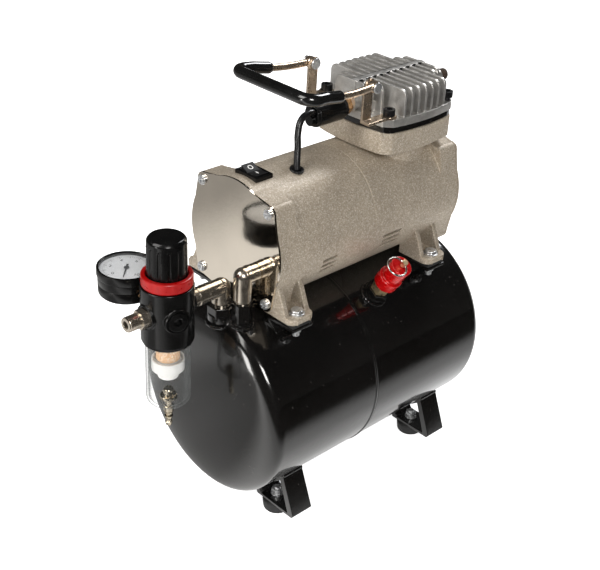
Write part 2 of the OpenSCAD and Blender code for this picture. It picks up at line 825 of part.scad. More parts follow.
module rocker_frame() {
    color("#111214") translate([0, rock_y, 0]) difference() {
        union() {
            translate([-10.5, -7.5, motor_z + motor_r - 1.6]) cube([21, 15, 3.6]);
            translate([-9.4, -6.4, motor_z + 32]) cube([18.8, 12.8, motor_r - 32]);
        }
        translate([-8.8, -5.6, motor_z + 38]) cube([17.6, 11.2, 12]);
        translate([0, 0, rock_z]) along_y(1.5, -6.3, 6.3);
        // the frame fits the curve of the casting outside its opening
        difference() {
            translate([0, -20, motor_z]) along_y(motor_r, 0, 40);
            translate([-9.4, -6.4, motor_z]) cube([18.8, 12.8, 60]);
        }
    }
}

module rocker_button() {
    color("#0c0d0f") translate([0, rock_y, rock_z]) rotate([0, 9, 0]) {
        profile_y(-5.2, 10.4)
            polygon([[-7.9, 3.1], [-3.8, 1.9], [0, 1.4], [3.8, 1.9], [7.9, 3.1],
                [7.2, 0], [4, -4], [-4, -4], [-7.2, 0]]);
        along_y(1.45, -6.2, 6.2);
    }
}

// ---- carrying handle ----

module handle_brackets() {
    color("#b7a48a") both_sides() difference() {
        union() {
            // tab under the head bolt
            translate([pivot_x - 1.9, pivot_y - 5.5, deck_z]) cube([8.4, 22, 2]);
            translate([head_bolt_off, pump_y - head_bolt_off, deck_z]) cylinder(r = 5.4, h = 2);
            // upright with its eye
            translate([pivot_x - 1.9, pivot_y - 5.5, deck_z]) cube([2.2, 8.5, pivot_z - deck_z]);
            translate([0, pivot_y, pivot_z]) along_x(4.6, pivot_x - 1.9, pivot_x + 0.3);
        }
        translate([head_bolt_off, pump_y - head_bolt_off, deck_z - 1]) cylinder(r = 2.6, h = 5);
        translate([0, pivot_y, pivot_z]) along_x(2.2, pivot_x - 4, pivot_x + 4);
    }
}

module handle_pivots() {
    color("#c9ccd0") both_sides() translate([0, pivot_y, pivot_z]) {
        along_x(2.2, pivot_x - 3, pivot_x + 6.2);
        along_x(4, pivot_x - 3.4, pivot_x - 1.9);
        along_x(3.8, pivot_x + 5.9, pivot_x + 7.4);
    }
}

// Places the resting bail: its own plane has X across and Y towards the pivots
module in_bail_plane() {
    translate([0, pivot_y, pivot_z]) rotate([-bail_tilt, 0, 0]) children();
}

// Centre line of the bail in its own plane: right arm, two bends, left arm.
// start is the distance from the eye
function bail_half_line(start) = let (corner = [bail_half, bend_r - bail_reach, 0],
    eye = [bail_eye_x, 0, 0], along = (corner - eye) / norm(corner - eye))
    concat([eye + start * along, eye + 45 * along],
        [for (a = [0 : 15 : 90])
            [bail_half - bend_r + bend_r * cos(a), bend_r - bail_reach - bend_r * sin(a), 0]]);
function mirrored(v) = [for (p = reversed(v)) [-p[0], p[1], p[2]]];
function bail_line(start) = concat(bail_half_line(start), mirrored(bail_half_line(start)));

module handle_bail() {
    color("#b7a48a") in_bail_plane() difference() {
        union() {
            swept_rod(bail_line(4), bail_wire_r, 12);
            both_sides() along_x(5, pivot_x + 0.6, pivot_x + 5.6);
        }
        both_sides() along_x(2.2 + run_gap, pivot_x - 4, pivot_x + 9);
    }
}

module handle_grip() {
    color("#0c0d0f") in_bail_plane() swept_tube(bail_line(grip_start), grip_r, bail_wire_r, 12);
}

// ---- air fittings ----

// Elbow: a stem up from z0 to an arm at arm_z that runs along Y by reach
module elbow(z0, arm_z, reach, r_stem, r_arm, r_thread) {
    s = reach > 0 ? 1 : -1;
    difference() {
        union() {
            translate([0, 0, z0 - 8]) cylinder(r = 3, h = 10);
            translate([0, 0, z0]) cylinder(r = r_stem - 1, h = 3);
            translate([0, 0, z0 + 2]) cylinder(r = r_stem, h = arm_z - z0 - 2);
            translate([0, 0, arm_z]) sphere(r = r_stem);
            translate([0, 0, arm_z]) mirror([0, s > 0 ? 0 : 1, 0]) {
                along_y(r_arm, 0, abs(reach) - 2);
                along_y(r_thread, 0, abs(reach) + 3);
            }
        }
        translate([0, 0, z0 - 9]) cylinder(r = 1.8, h = arm_z - z0 + 9);
        translate([0, 0, arm_z]) mirror([0, s > 0 ? 0 : 1, 0]) along_y(2.2, 0, abs(reach) + 4);
        translate([0, 0, arm_z]) sphere(r = 2.2);
    }
}

module inlet_elbow() {
    color("#b9ad9a") translate([inlet_x, inlet_y, 0])
        elbow(inlet_bung_top, inlet_arm_z, motor_front_y - inlet_y + 2, 6.3, 6, 5);
}

module outlet_elbow() {
    color("#b9ad9a") translate([outlet_x, outlet_y, 0])
        elbow(bung_top, port_z, reg_y + reg_r - outlet_y + 2, 6.4, 6.2, 5);
}

// ---- safety valve ----

// Measured outwards along the valve's own axis
module on_valve_axis() {
    translate([0, valve_y, tank_z]) rotate([0, valve_lean, 0]) children();
}

module safety_valve_body() {
    color("#c9a86a") on_valve_axis() difference() {
        union() {
            translate([0, 0, valve_hex - 8]) cylinder(r = 3, h = 10);
            translate([0, 0, valve_hex]) hex_bar(12, 6);
            translate([0, 0, valve_hex + 6]) cylinder(r = 5, h = valve_red - valve_hex - 5);
        }
        translate([0, 0, valve_hex - 9]) cylinder(r = 1.6, h = 40);
    }
}

module safety_valve_cap() {
    color("#c2121a") on_valve_axis() difference() {
        union() {
            translate([0, 0, valve_red - 2]) cylinder(r = 9, h = 9);
            translate([0, 0, valve_red + 7]) cylinder(r = 6.8, h = 2.5);
            translate([0, 0, valve_red + 9]) cylinder(r = 7.8, h = valve_tip - valve_red - 9);
        }
        translate([0, 0, valve_red - 3]) cylinder(r = 5, h = 4);
        translate([0, 0, valve_red]) cylinder(r = 4.2, h = 15);
        translate([0, 0, valve_red + 10]) cylinder(r = 1.5 + run_gap, h = 30);
    }
}

module safety_valve_stem() {
    color("#c9a86a") on_valve_axis() difference() {
        union() {
            translate([0, 0, valve_red + 2.5]) cylinder(r = 3.8, h = 3);
            translate([0, 0, valve_red + 5]) cylinder(r = 1.5, h = valve_tip - valve_red - 4.5);
            translate([0, 0, valve_tip + 0.5]) cylinder(r = 2.2, h = 4.6);
        }
        translate([0, 0, valve_tip + 2.8]) along_x(1.05, -5, 5);
    }
}

module pull_ring() {
    ring_r = 7.2;
    color("#c8c2b6") on_valve_axis() translate([0, -ring_r, valve_tip + 2.8]) rotate_extrude()
        translate([ring_r, 0]) circle(r = 0.7, $fn = 24);
}

// ---- filter regulator ----

module at_reg() {
    translate([reg_x, reg_y, 0]) children();
}

module regulator_body() {
    color("#141517") at_reg() difference() {
        union() {
            translate([0, 0, body_bottom]) cylinder(r = reg_r - 0.9, h = 3);
            translate([0, 0, body_bottom + 2]) cylinder(r = reg_r, h = body_top - body_bottom - 2);
            translate([0, 0, body_top - 1]) cylinder(r = 13.6, h = 5.5);
            translate([0, 0, body_top]) cylinder(r = 10.2, h = 18);
            // port bosses
            translate([0, 0, port_z]) along_y(8.4, -reg_r - 0.5, reg_r + 0.5);
            translate([0, 0, port_z]) along_x(8.4, -reg_r - 0.5, 0);
            translate([0, 0, port_z]) rotate(plug_turn) along_x(8.4, 0, reg_r + 0.5);
        }
        translate([0, 0, body_bottom - 1]) cylinder(r = bowl_r, h = 9);
        translate([0, 0, body_bottom - 1]) cylinder(r = 6, h = 30);
        translate([0, 0, port_z]) {
            along_y(5, -30, -3);
            along_y(5, 3, 30);
            along_x(5, -30, -3);
            rotate(plug_turn) along_x(5, 3, 30);
        }
        translate([0, 0, body_top - 4]) cylinder(r = 8, h = 24);
        translate([0, 0, body_top - 4]) cylinder(r = 3.4, h = 60);
    }
}

module panel_ring() {
    color("#c51219") at_reg() difference() {
        translate([0, 0, body_top]) cylinder(r = ring_r, h = ring_top - body_top);
        translate([0, 0, body_top - 1]) cylinder(r = 13.6, h = 30);
        // grooves round the edge
        for (k = [0 : 17]) rotate(20 * k) translate([ring_r + 0.3, 0, body_top - 1])
            cylinder(r = 0.9, h = 20);
    }
}

module regulator_knob() {
    knob_z = 213.2;
    color("#0d0e10") at_reg() difference() {
        union() {
            translate([0, 0, knob_z]) cylinder(r1 = knob_r + 0.4, r2 = knob_r, h = knob_top_z - knob_z - 2);
            translate([0, 0, knob_top_z - 2]) cylinder(r1 = knob_r, r2 = knob_r - 1.6, h = 2);
        }
        translate([0, 0, knob_z - 1]) cylinder(r = 10.8, h = 18);
        translate([0, 0, knob_z + 10]) cylinder(r = 3.1 / cos(30), h = 12, $fn = 6);
        for (k = [0 : 11]) rotate(30 * k) translate([knob_r + 1.1, 0, knob_z - 1])
            cylinder(r = 1.3, h = knob_top_z - knob_z - 5);
    }
}

module adjusting_screw() {
    color("#b9bdc2") at_reg() {
        translate([0, 0, body_top - 4]) cylinder(r = 7.6, h = 3);
        translate([0, 0, body_top - 2]) cylinder(r = 3.3, h = 19);
        translate([0, 0, body_top + 16]) hex_bar(5.8, 8);
    }
}

module filter_bowl() {
    wall = 1.8;
    color([0.85, 0.88, 0.9, 0.35]) at_reg() difference() {
        union() {
            translate([0, 0, bowl_z + 5]) cylinder(r = bowl_r, h = body_bottom + 7 - bowl_z - 5);
            translate([0, 0, bowl_z + 5]) rotate_extrude() intersection() {
                translate([bowl_r - 5, 0]) circle(r = 5);
                translate([0, -5]) square([bowl_r, 5]);
            }
            translate([0, 0, bowl_z]) cylinder(r = bowl_r - 5, h = 6);
            translate([0, 0, bowl_z - 1.5]) cylinder(r = 5, h = 3);
        }
        translate([0, 0, bowl_z + 5]) cylinder(r = bowl_r - wall, h = 80);
        translate([0, 0, bowl_z + wall]) cylinder(r = bowl_r - 5, h = 40);
        translate([0, 0, bowl_z - 3]) cylinder(r = 2.4 + run_gap, h = 20);
    }
}

module filter_element() {
    color("#c98d5a") at_reg() difference() {
        translate([0, 0, baffle_z + 14]) cylinder(r = 8, h = 18);
        translate([0, 0, baffle_z + 13]) cylinder(r = 5.6, h = 20);
    }
}

module filter_baffle() {
    color("#e8e8e4") at_reg() {
        translate([0, 0, baffle_z + 9]) cylinder(r = 11, h = 1.6);
        translate([0, 0, baffle_z]) cylinder(r = 7, h = 9.5);
        difference() {
            translate([0, 0, baffle_z + 6]) cylinder(r = 11, h = 8);
            translate([0, 0, baffle_z + 5]) cylinder(r = 9.6, h = 10);
        }
        difference() {
            translate([0, 0, baffle_z + 10]) cylinder(r = 5.6, h = 26);
            translate([0, 0, baffle_z + 11]) cylinder(r = 4, h = 26);
            for (k = [0 : 3]) rotate(90 * k) translate([2, -2, baffle_z + 16]) cube([5, 4, 14]);
        }
    }
}

module bowl_drain() {
    color("#b8a888") at_reg() {
        translate([0, 0, bowl_z + 1.8]) cylinder(r = 6, h = 2.5);
        translate([0, 0, bowl_z + 4.3]) cylinder(r = 3.4, h = 5);
        translate([0, 0, bowl_z - 18]) cylinder(r = 2.4, h = 22);
        translate([0, 0, bowl_z - 9]) cylinder(r = 3.6, h = 4.5);
        for (z = [12, 15]) translate([0, 0, bowl_z - z]) cylinder(r1 = 2.4, r2 = 3, h = 2);
        translate([0, 0, bowl_z - 21]) cylinder(r1 = 1.8, r2 = 2.6, h = 3.5);
    }
}

module outlet_fitting() {
    y0 = reg_y - reg_r - 0.5;
    color("#d3d5d8") translate([reg_x, 0, port_z]) difference() {
        union() {
            along_y(5, y0, y0 + 8);
            translate([0, y0 - 5, 0]) rotate([-90, 0, 0]) hex_bar(12, 5);
            along_y(4.9, -150, y0 - 5);
        }
        along_y(2.6, -151, y0 + 9);
    }
}

module port_plug() {
    color("#101113") at_reg() translate([0, 0, port_z]) rotate(plug_turn) difference() {
        union() {
            along_x(5, 9, reg_r + 0.5);
            along_x(6.6, reg_r + 0.5, reg_r + 1.6);
        }
        translate([reg_r - 3, 0, 0]) rotate([0, 90, 0]) hex_bar(5, 8);
    }
}

// ---- gauge ----

module at_gauge() {
    translate([gauge_x, reg_y, 0]) children();
}

module gauge_case() {
    color("#131416") at_gauge() difference() {
        union() {
            translate([0, 0, gauge_base_z]) cylinder(r1 = gauge_r - 1.4, r2 = gauge_r - 0.6, h = 1.5);
            translate([0, 0, gauge_base_z + 1.5]) cylinder(r = gauge_r - 0.6, h = dial_z - gauge_base_z - 4);
            translate([0, 0, dial_z - 3.5]) cylinder(r = gauge_r, h = 6);
        }
        translate([0, 0, dial_z - 1]) cylinder(r = gauge_r - 1.8, h = 10);
        translate([0, 0, gauge_base_z + 2]) cylinder(r = gauge_r - 2.4, h = dial_z - gauge_base_z);
    }
    // radial stem with its hexagon
    color("#b8854e") translate([gauge_x, reg_y, port_z]) {
        along_x(4, gauge_r - 4, gauge_off - 9);
        translate([gauge_r - 0.5, 0, 0]) rotate([0, 90, 0]) hex_bar(9.5, gauge_off - reg_r - gauge_r);
        along_x(5, gauge_off - reg_r - 0.5, gauge_off - 9);
    }
}

module gauge_dial() {
    color("#f2f2ee") at_gauge() translate([0, 0, dial_z - 1]) difference() {
        cylinder(r = gauge_r - 1.8, h = 1);
        translate([0, 0, -1]) cylinder(r = 0.9, h = 3);
    }
}

module gauge_needle() {
    color("#1b1b1b") at_gauge() rotate(-45) {
        translate([0, 0, dial_z - 2.5]) cylinder(r = 0.85, h = 3.6);
        translate([0, 0, dial_z + 0.35]) cylinder(r = 1.8, h = 0.6);
        translate([0, 0, dial_z + 0.4]) linear_extrude(height = 0.4)
            polygon([[-4.5, -0.8], [13, -0.25], [13, 0.25], [-4.5, 0.8]]);
    }
}

module gauge_lens() {
    color([0.9, 0.95, 0.97, 0.25]) at_gauge() translate([0, 0, dial_z + 1.2])
        cylinder(r = gauge_r - 1.8, h = 1);
}

tank_front_shell();
tank_rear_shell();
tank_bungs();
front_leg();
rear_leg();
rubber_feet();
foot_bolts();
motor_cradles();
cradle_pads();
motor_foot_bolts();
drain_screw();
motor_housing();
crankcase();
front_cover();
rear_cover();
cover_screws();
shaft_bearings();
stator_core();
stator_windings();
rotor();
motor_shaft();
cooling_fan();
crank_eccentric();
piston_rod();
piston_cup();
cylinder_sleeve();
valve_plate();
cylinder_head();
head_bolts();
intake_filter();
pressure_switch();
switch_nipple();
switch_cable();
cable_grommet();
rocker_frame();
rocker_button();
handle_brackets();
handle_pivots();
handle_bail();
handle_grip();
inlet_elbow();
outlet_elbow();
safety_valve_body();
safety_valve_cap();
safety_valve_stem();
pull_ring();
regulator_body();
panel_ring();
regulator_knob();
adjusting_screw();
filter_bowl();
filter_element();
filter_baffle();
bowl_drain();
outlet_fitting();
port_plug();
gauge_case();
gauge_dial();
gauge_needle();
gauge_lens();
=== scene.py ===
import json
from math import atan2, cos, pi, radians, sin, sqrt

import bpy
from mathutils import Matrix, Vector

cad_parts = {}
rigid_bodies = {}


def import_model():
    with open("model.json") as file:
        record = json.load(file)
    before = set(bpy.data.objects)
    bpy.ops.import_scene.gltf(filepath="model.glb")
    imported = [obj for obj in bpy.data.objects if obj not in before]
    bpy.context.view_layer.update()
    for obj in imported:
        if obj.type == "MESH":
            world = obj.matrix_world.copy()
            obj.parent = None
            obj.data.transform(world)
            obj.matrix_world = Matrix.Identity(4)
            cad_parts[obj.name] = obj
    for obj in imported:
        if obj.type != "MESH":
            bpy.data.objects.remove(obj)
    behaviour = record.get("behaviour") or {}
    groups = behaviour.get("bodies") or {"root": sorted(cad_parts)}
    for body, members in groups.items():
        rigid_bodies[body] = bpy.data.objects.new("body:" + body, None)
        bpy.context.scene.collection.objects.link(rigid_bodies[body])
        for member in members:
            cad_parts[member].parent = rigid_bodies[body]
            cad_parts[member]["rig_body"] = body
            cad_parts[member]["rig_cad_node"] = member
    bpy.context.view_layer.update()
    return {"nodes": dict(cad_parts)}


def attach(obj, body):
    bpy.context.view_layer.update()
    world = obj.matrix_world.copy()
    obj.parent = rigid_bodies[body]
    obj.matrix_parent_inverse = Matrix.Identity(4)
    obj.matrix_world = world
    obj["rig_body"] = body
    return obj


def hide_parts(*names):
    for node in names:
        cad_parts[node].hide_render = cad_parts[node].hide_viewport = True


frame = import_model()

# ---- The table, the lights and the camera ----
# The compressor stands on white paper that runs far past it. Two soft lights hang high in
# front, on the camera's left and right, one hangs behind, and a small weak one stands low.

LOOK_FROM = Vector((0.49736, -0.48344, 0.56111))
AZIMUTH, ELEVATION, ROLL = radians(45.194), radians(30.026), radians(3.2715)
bpy.ops.object.select_all(action="DESELECT")
bpy.ops.object.camera_add(location=LOOK_FROM)
camera = bpy.context.object
camera.name = "camera"
camera.matrix_world = (Matrix.Translation(LOOK_FROM) @ Matrix.Rotation(AZIMUTH, 4, "Z")
                       @ Matrix.Rotation(radians(90) - ELEVATION, 4, "X")
                       @ Matrix.Rotation(ROLL, 4, "Z"))
camera.data.lens = 66.48
camera.data.sensor_width = 36
camera.data.clip_start = 0.01
bpy.context.scene.camera = camera
bpy.context.scene.view_settings.view_transform = "Standard"


def soft_light(name, place, aim, width, height, watts, tint):
    """A rectangular studio light at place, turned towards aim."""
    bpy.ops.object.light_add(type="AREA", location=place)
    light = bpy.context.object
    light.name = name
    light.rotation_euler = (Vector(aim) - Vector(place)).to_track_quat("-Z", "Y").to_euler()
    light.data.shape = "RECTANGLE"
    light.data.size, light.data.size_y = width, height
    light.data.energy = watts
    light.data.color = tint
    return light


soft_light("key_light", (-0.35, -1.3, 1.5), (0, 0, 0.15), 1.1, 1.1, 24, (1.0, 0.98, 0.95))
soft_light("fill_light", (1.5, -0.9, 1.3), (0, 0, 0.15), 0.6, 0.6, 24, (1.0, 0.985, 0.96))
soft_light("back_light", (-0.3, 1.5, 1.7), (0, 0.0, 0.1), 0.7, 0.7, 22, (0.97, 0.98, 1.0))
soft_light("low_light", (-0.12, -1.7, 0.28), (0, 0, 0.14), 0.22, 0.5, 5, (1.0, 0.98, 0.95))

# The room is dark, a little less so at eye height, so that gloss black stays black. The
# camera itself sees white behind the paper.
room = bpy.context.scene.world or bpy.data.worlds.new("room")
bpy.context.scene.world = room
room.use_nodes = True
sky, wires = room.node_tree.nodes, room.node_tree.links
direction = sky.new("ShaderNodeTexCoord")
height = sky.new("ShaderNodeSeparateXYZ")
wires.new(direction.outputs["Generated"], height.inputs["Vector"])
walls = sky.new("ShaderNodeValToRGB")
walls.color_ramp.elements[0].position = 0.0
walls.color_ramp.elements[0].color = (0.06, 0.056, 0.05, 1)
walls.color_ramp.elements[1].position = 0.55
walls.color_ramp.elements[1].color = (0.03, 0.03, 0.03, 1)
middle = walls.color_ramp.elements.new(0.22)
middle.color = (0.04, 0.038, 0.035, 1)
wires.new(height.outputs["Z"], walls.inputs["Fac"])
look = sky.new("ShaderNodeLightPath")
backdrop = sky.new("ShaderNodeMix")
backdrop.data_type = "RGBA"
backdrop.inputs["B"].default_value = (1.25, 1.25, 1.24, 1)
wires.new(look.outputs["Is Camera Ray"], backdrop.inputs["Factor"])
wires.new(walls.outputs["Color"], backdrop.inputs["A"])
wires.new(backdrop.outputs["Result"], sky["Background"].inputs["Color"])
sky["Background"].inputs["Strength"].default_value = 0.8


def finish(name, colour, metal=0.0, rough=0.4, mottle=0.08, mottle_size=0.012, rough_spread=0.06,
           grain=0.15, grain_size=0.0012, coat=0.0, coat_rough=0.05, specular=0.5):
    """A material whose colour and gloss wander a little, with a fine grain raised on it.
    The sizes are of the pattern on the real surface, in metres."""
    made = bpy.data.materials.new(name)
    made.use_nodes = True
    nodes, links = made.node_tree.nodes, made.node_tree.links
    shader = nodes["Principled BSDF"]
    shader.inputs["Metallic"].default_value = metal
    shader.inputs["Coat Weight"].default_value = coat
    shader.inputs["Coat Roughness"].default_value = coat_rough
    shader.inputs["Specular IOR Level"].default_value = specular
    place = nodes.new("ShaderNodeTexCoord")
    patches = nodes.new("ShaderNodeTexNoise")
    patches.name = "patches"
    patches.inputs["Scale"].default_value = 1 / mottle_size
    patches.inputs["Detail"].default_value = 5
    links.new(place.outputs["Object"], patches.inputs["Vector"])
    shades = nodes.new("ShaderNodeValToRGB")
    shades.name = "shades"
    shades.color_ramp.elements[0].position, shades.color_ramp.elements[1].position = 0.3, 0.7
    shades.color_ramp.elements[0].color = (*[c * (1 - mottle) for c in colour], 1)
    shades.color_ramp.elements[1].color = (*[min(1, c * (1 + mottle)) for c in colour], 1)
    links.new(patches.outputs["Fac"], shades.inputs["Fac"])
    links.new(shades.outputs["Color"], shader.inputs["Base Color"])
    gloss = nodes.new("ShaderNodeMapRange")
    gloss.name = "gloss"
    gloss.inputs["From Min"].default_value, gloss.inputs["From Max"].default_value = 0.3, 0.7
    gloss.inputs["To Min"].default_value = max(0.02, rough - rough_spread)
    gloss.inputs["To Max"].default_value = rough + rough_spread
    links.new(patches.outputs["Fac"], gloss.inputs["Value"])
    links.new(gloss.outputs["Result"], shader.inputs["Roughness"])
    fine = nodes.new("ShaderNodeTexNoise")
    fine.name = "fine"
    fine.inputs["Scale"].default_value = 1 / grain_size
    fine.inputs["Detail"].default_value = 3
    links.new(place.outputs["Object"], fine.inputs["Vector"])
    raised = nodes.new("ShaderNodeBump")
    raised.name = "raised"
    raised.inputs["Strength"].default_value = grain
    raised.inputs["Distance"].default_value = grain_size * 0.35
    links.new(fine.outputs["Fac"], raised.inputs["Height"])
    links.new(raised.outputs["Normal"], shader.inputs["Normal"])
    return made


def sprinkled(made, tint, share, size, strength=1.0):
    """Adds small flecks of another colour, such as metal flakes or dust, to a finish."""
    nodes, links = made.node_tree.nodes, made.node_tree.links
    shader = nodes["Principled BSDF"]
    under = shader.inputs["Base Color"].links[0].from_socket
    place = next(n for n in nodes if n.type == "TEX_COORD")
    cells = nodes.new("ShaderNodeTexVoronoi")
    cells.inputs["Scale"].default_value = 1 / size
    links.new(place.outputs["Object"], cells.inputs["Vector"])
    pick = nodes.new("ShaderNodeSeparateColor")
    links.new(cells.outputs["Color"], pick.inputs["Color"])
    chosen = nodes.new("ShaderNodeMapRange")
    chosen.inputs["From Min"].default_value, chosen.inputs["From Max"].default_value = 1 - share, 1
    chosen.inputs["To Max"].default_value = strength
    links.new(pick.outputs["Red"], chosen.inputs["Value"])
    mixed = nodes.new("ShaderNodeMix")
    mixed.data_type = "RGBA"
    mixed.inputs["B"].default_value = (*tint, 1)
    links.new(chosen.outputs["Result"], mixed.inputs["Factor"])
    links.new(under, mixed.inputs["A"])
    links.new(mixed.outputs["Result"], shader.inputs["Base Color"])
    return made


bpy.ops.object.select_all(action="DESELECT")
bpy.ops.mesh.primitive_plane_add(size=8, location=(0, 0, 0))
paper = bpy.context.object
paper.name = "paper"
paper.data.materials.append(finish("white_paper", (0.95, 0.95, 0.945), rough=0.7, mottle=0.004,
                                   mottle_size=0.4, grain=0.05, grain_size=0.004, specular=0.2))
sheet, joins = paper.data.materials[0].node_tree.nodes, paper.data.materials[0].node_tree.links
sheet["Principled BSDF"].inputs["Emission Color"].default_value = (1, 1, 1, 1)
sheet["Principled BSDF"].inputs["Emission Strength"].default_value = 0.55
ray = sheet.new("ShaderNodeLightPath")
glow = sheet.new("ShaderNodeMapRange")
glow.inputs["To Min"].default_value, glow.inputs["To Max"].default_value = 0.5, 0.95
joins.new(ray.outputs["Is Camera Ray"], glow.inputs["Value"])
joins.new(glow.outputs["Result"], sheet["Principled BSDF"].inputs["Emission Strength"])
# In gloss the paper isn't plain: bands of painted dark cross it from left to right, so
# that the mirror plate shows a painted reflection of the light and dark of a room
spot = sheet.new("ShaderNodeSeparateXYZ")
joins.new(sheet["Texture Coordinate"].outputs["Object"], spot.inputs["Vector"])
along = sheet.new("ShaderNodeMapRange")
along.inputs["From Min"].default_value, along.inputs["From Max"].default_value = -0.45, 0.30
joins.new(spot.outputs["X"], along.inputs["Value"])
# Share of painted reflection dark along X: where it is high, glossy rays see the dark shader instead of the
# paper.
painted_reflection_bands = sheet.new("ShaderNodeValToRGB")
painted_reflection_bands.color_ramp.interpolation = "EASE"
painted_reflection_bands.color_ramp.elements[0].position = 0.05
painted_reflection_bands.color_ramp.elements[0].color = (0.80, 0.80, 0.80, 1)
painted_reflection_bands.color_ramp.elements[1].position = 0.95
painted_reflection_bands.color_ramp.elements[1].color = (1, 1, 1, 1)
for where, dark in ((0.22, 0.50), (0.32, 0.48), (0.43, 0.74), (0.585, 0.72), (0.67, 0.0), (0.79, 0.45)):
    painted_reflection_bands.color_ramp.elements.new(where).color = (dark, dark, dark, 1)
joins.new(along.outputs["Result"], painted_reflection_bands.inputs["Fac"])
share = sheet.new("ShaderNodeMath")
share.operation = "MULTIPLY"
joins.new(ray.outputs["Is Glossy Ray"], share.inputs[0])
joins.new(painted_reflection_bands.outputs["Color"], share.inputs[1])
# Glossy rays see this near-black shader in place of the paper where the bands fall: a painted reflection of a
# dark room.
painted_reflection_dark = sheet.new("ShaderNodeBsdfDiffuse")
painted_reflection_dark.inputs["Color"].default_value = (0.02, 0.018, 0.015, 1)
blended = sheet.new("ShaderNodeMixShader")
joins.new(share.outputs["Value"], blended.inputs["Fac"])
joins.new(sheet["Principled BSDF"].outputs["BSDF"], blended.inputs[1])
joins.new(painted_reflection_dark.outputs["BSDF"], blended.inputs[2])
joins.new(blended.outputs["Shader"], sheet["Material Output"].inputs["Surface"])

# ---- Air tank ----
# Two deep-drawn steel shells, butted over a joggled lip and welded all round, then coated
# in gloss black enamel. The weld shows as a low bead, and the enamel has a slight orange peel.

TANK_R, TANK_Z, SEAM_Y = 0.0745, 0.095, 0.022
FRONT_Y, FRONT_BULGE, FRONT_POWER = -0.068, 0.017, 2.6
black_enamel = finish("black_enamel", (0.0045, 0.0042, 0.004), rough=0.16, mottle=0.25, mottle_size=0.05,
                      rough_spread=0.05, grain=0.05, grain_size=0.004, coat=0.6, coat_rough=0.04)
sprinkled(black_enamel, (0.07, 0.065, 0.06), 0.0025, 0.0007)


def turned(name, outline, centre=(0, 0, 0), axis=(0, 0, 1), steps=64, edge=32):
    """A turned piece. The outline gives the radius and the distance along the axis, point by point."""
    along = Vector(axis).normalized()
    across = along.orthogonal().normalized()
    points = [Vector(centre) + across * r + along * h for r, h in outline]
    bpy.ops.object.select_all(action="DESELECT")
    bpy.ops.mesh.primitive_plane_add(size=0.01, location=(0, 0, 0))
    piece = bpy.context.object
    bpy.ops.object.mode_set(mode="EDIT")
    bpy.ops.mesh.merge(type="CENTER")
    bpy.ops.transform.translate(value=points[0])
    for here, there in zip(points, points[1:]):
        bpy.ops.mesh.extrude_region_move(TRANSFORM_OT_translate={"value": there - here})
    bpy.ops.mesh.select_all(action="SELECT")
    bpy.ops.mesh.spin(steps=steps, angle=radians(360), center=centre, axis=along)
    bpy.ops.mesh.select_all(action="SELECT")
    bpy.ops.mesh.remove_doubles(threshold=0.000004)
    bpy.ops.mesh.normals_make_consistent(inside=False)
    bpy.ops.object.mode_set(mode="OBJECT")
    bpy.ops.object.shade_smooth_by_angle(angle=radians(edge))
    piece.name = name
    return piece


def dished(bulge, power, count, radius=TANK_R):
    """Radius and depth of a drawn tank end, from its straight wall to its nose."""
    turns = [radians(90) * i / count for i in range(count + 1)]
    return [(radius * cos(turn) ** (2 / power), bulge * sin(turn) ** (2 / power)) for turn in turns]


front_end = [(r, FRONT_Y - d) for r, d in reversed(dished(FRONT_BULGE, FRONT_POWER, 44))]
front_end[0] = (0, -0.085)
front_end += [(TANK_R, y / 1000) for y in (-50, -30, -10, 8, 18, 20.2)]
front_end += [(TANK_R + 0.00065 * sin(radians(a)), SEAM_Y - 0.0012 - 0.0010 * cos(radians(a)))
              for a in (0, 40, 80, 100, 140, 180)]
front_end += [(TANK_R - 0.0004, SEAM_Y), (TANK_R - 0.0016, SEAM_Y), (TANK_R - 0.0016, -0.066),
              (0.05, -0.078), (0, -0.080)]
front_shell = turned("tank_front_drawn_shell", front_end, (0, 0, TANK_Z), (0, 1, 0), 128)
front_shell.data.materials.append(black_enamel)
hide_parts("tank_front_shell")

rear_end = [(TANK_R - 0.0016, 0.024), (TANK_R - 0.0006, SEAM_Y + 0.0002), (TANK_R, SEAM_Y + 0.0008)]
rear_end += [(TANK_R, y / 1000) for y in (40, 60, 80, 100, 120)]
rear_end += [(r, 0.130 + d) for r, d in dished(0.020, 2.3, 44)]
rear_end[-1] = (0, 0.150)
rear_end += [(0, 0.146), (0.05, 0.143), (TANK_R - 0.0016, 0.128), (TANK_R - 0.0016, 0.024)]
rear_shell = turned("tank_rear_drawn_shell", rear_end, (0, 0, TANK_Z), (0, 1, 0), 128)
rear_shell.data.materials.append(black_enamel)
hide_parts("tank_rear_shell")
for piece in (front_shell, rear_shell):
    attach(piece, "root")

# ---- Bungs and welds ----
# Threaded steel bungs are set into the shells and welded round, and short runs of weld hold
# the cradles and the leg straps. The enamel covers them all, so they show as low ripples.

VALVE_Y = 0.0435


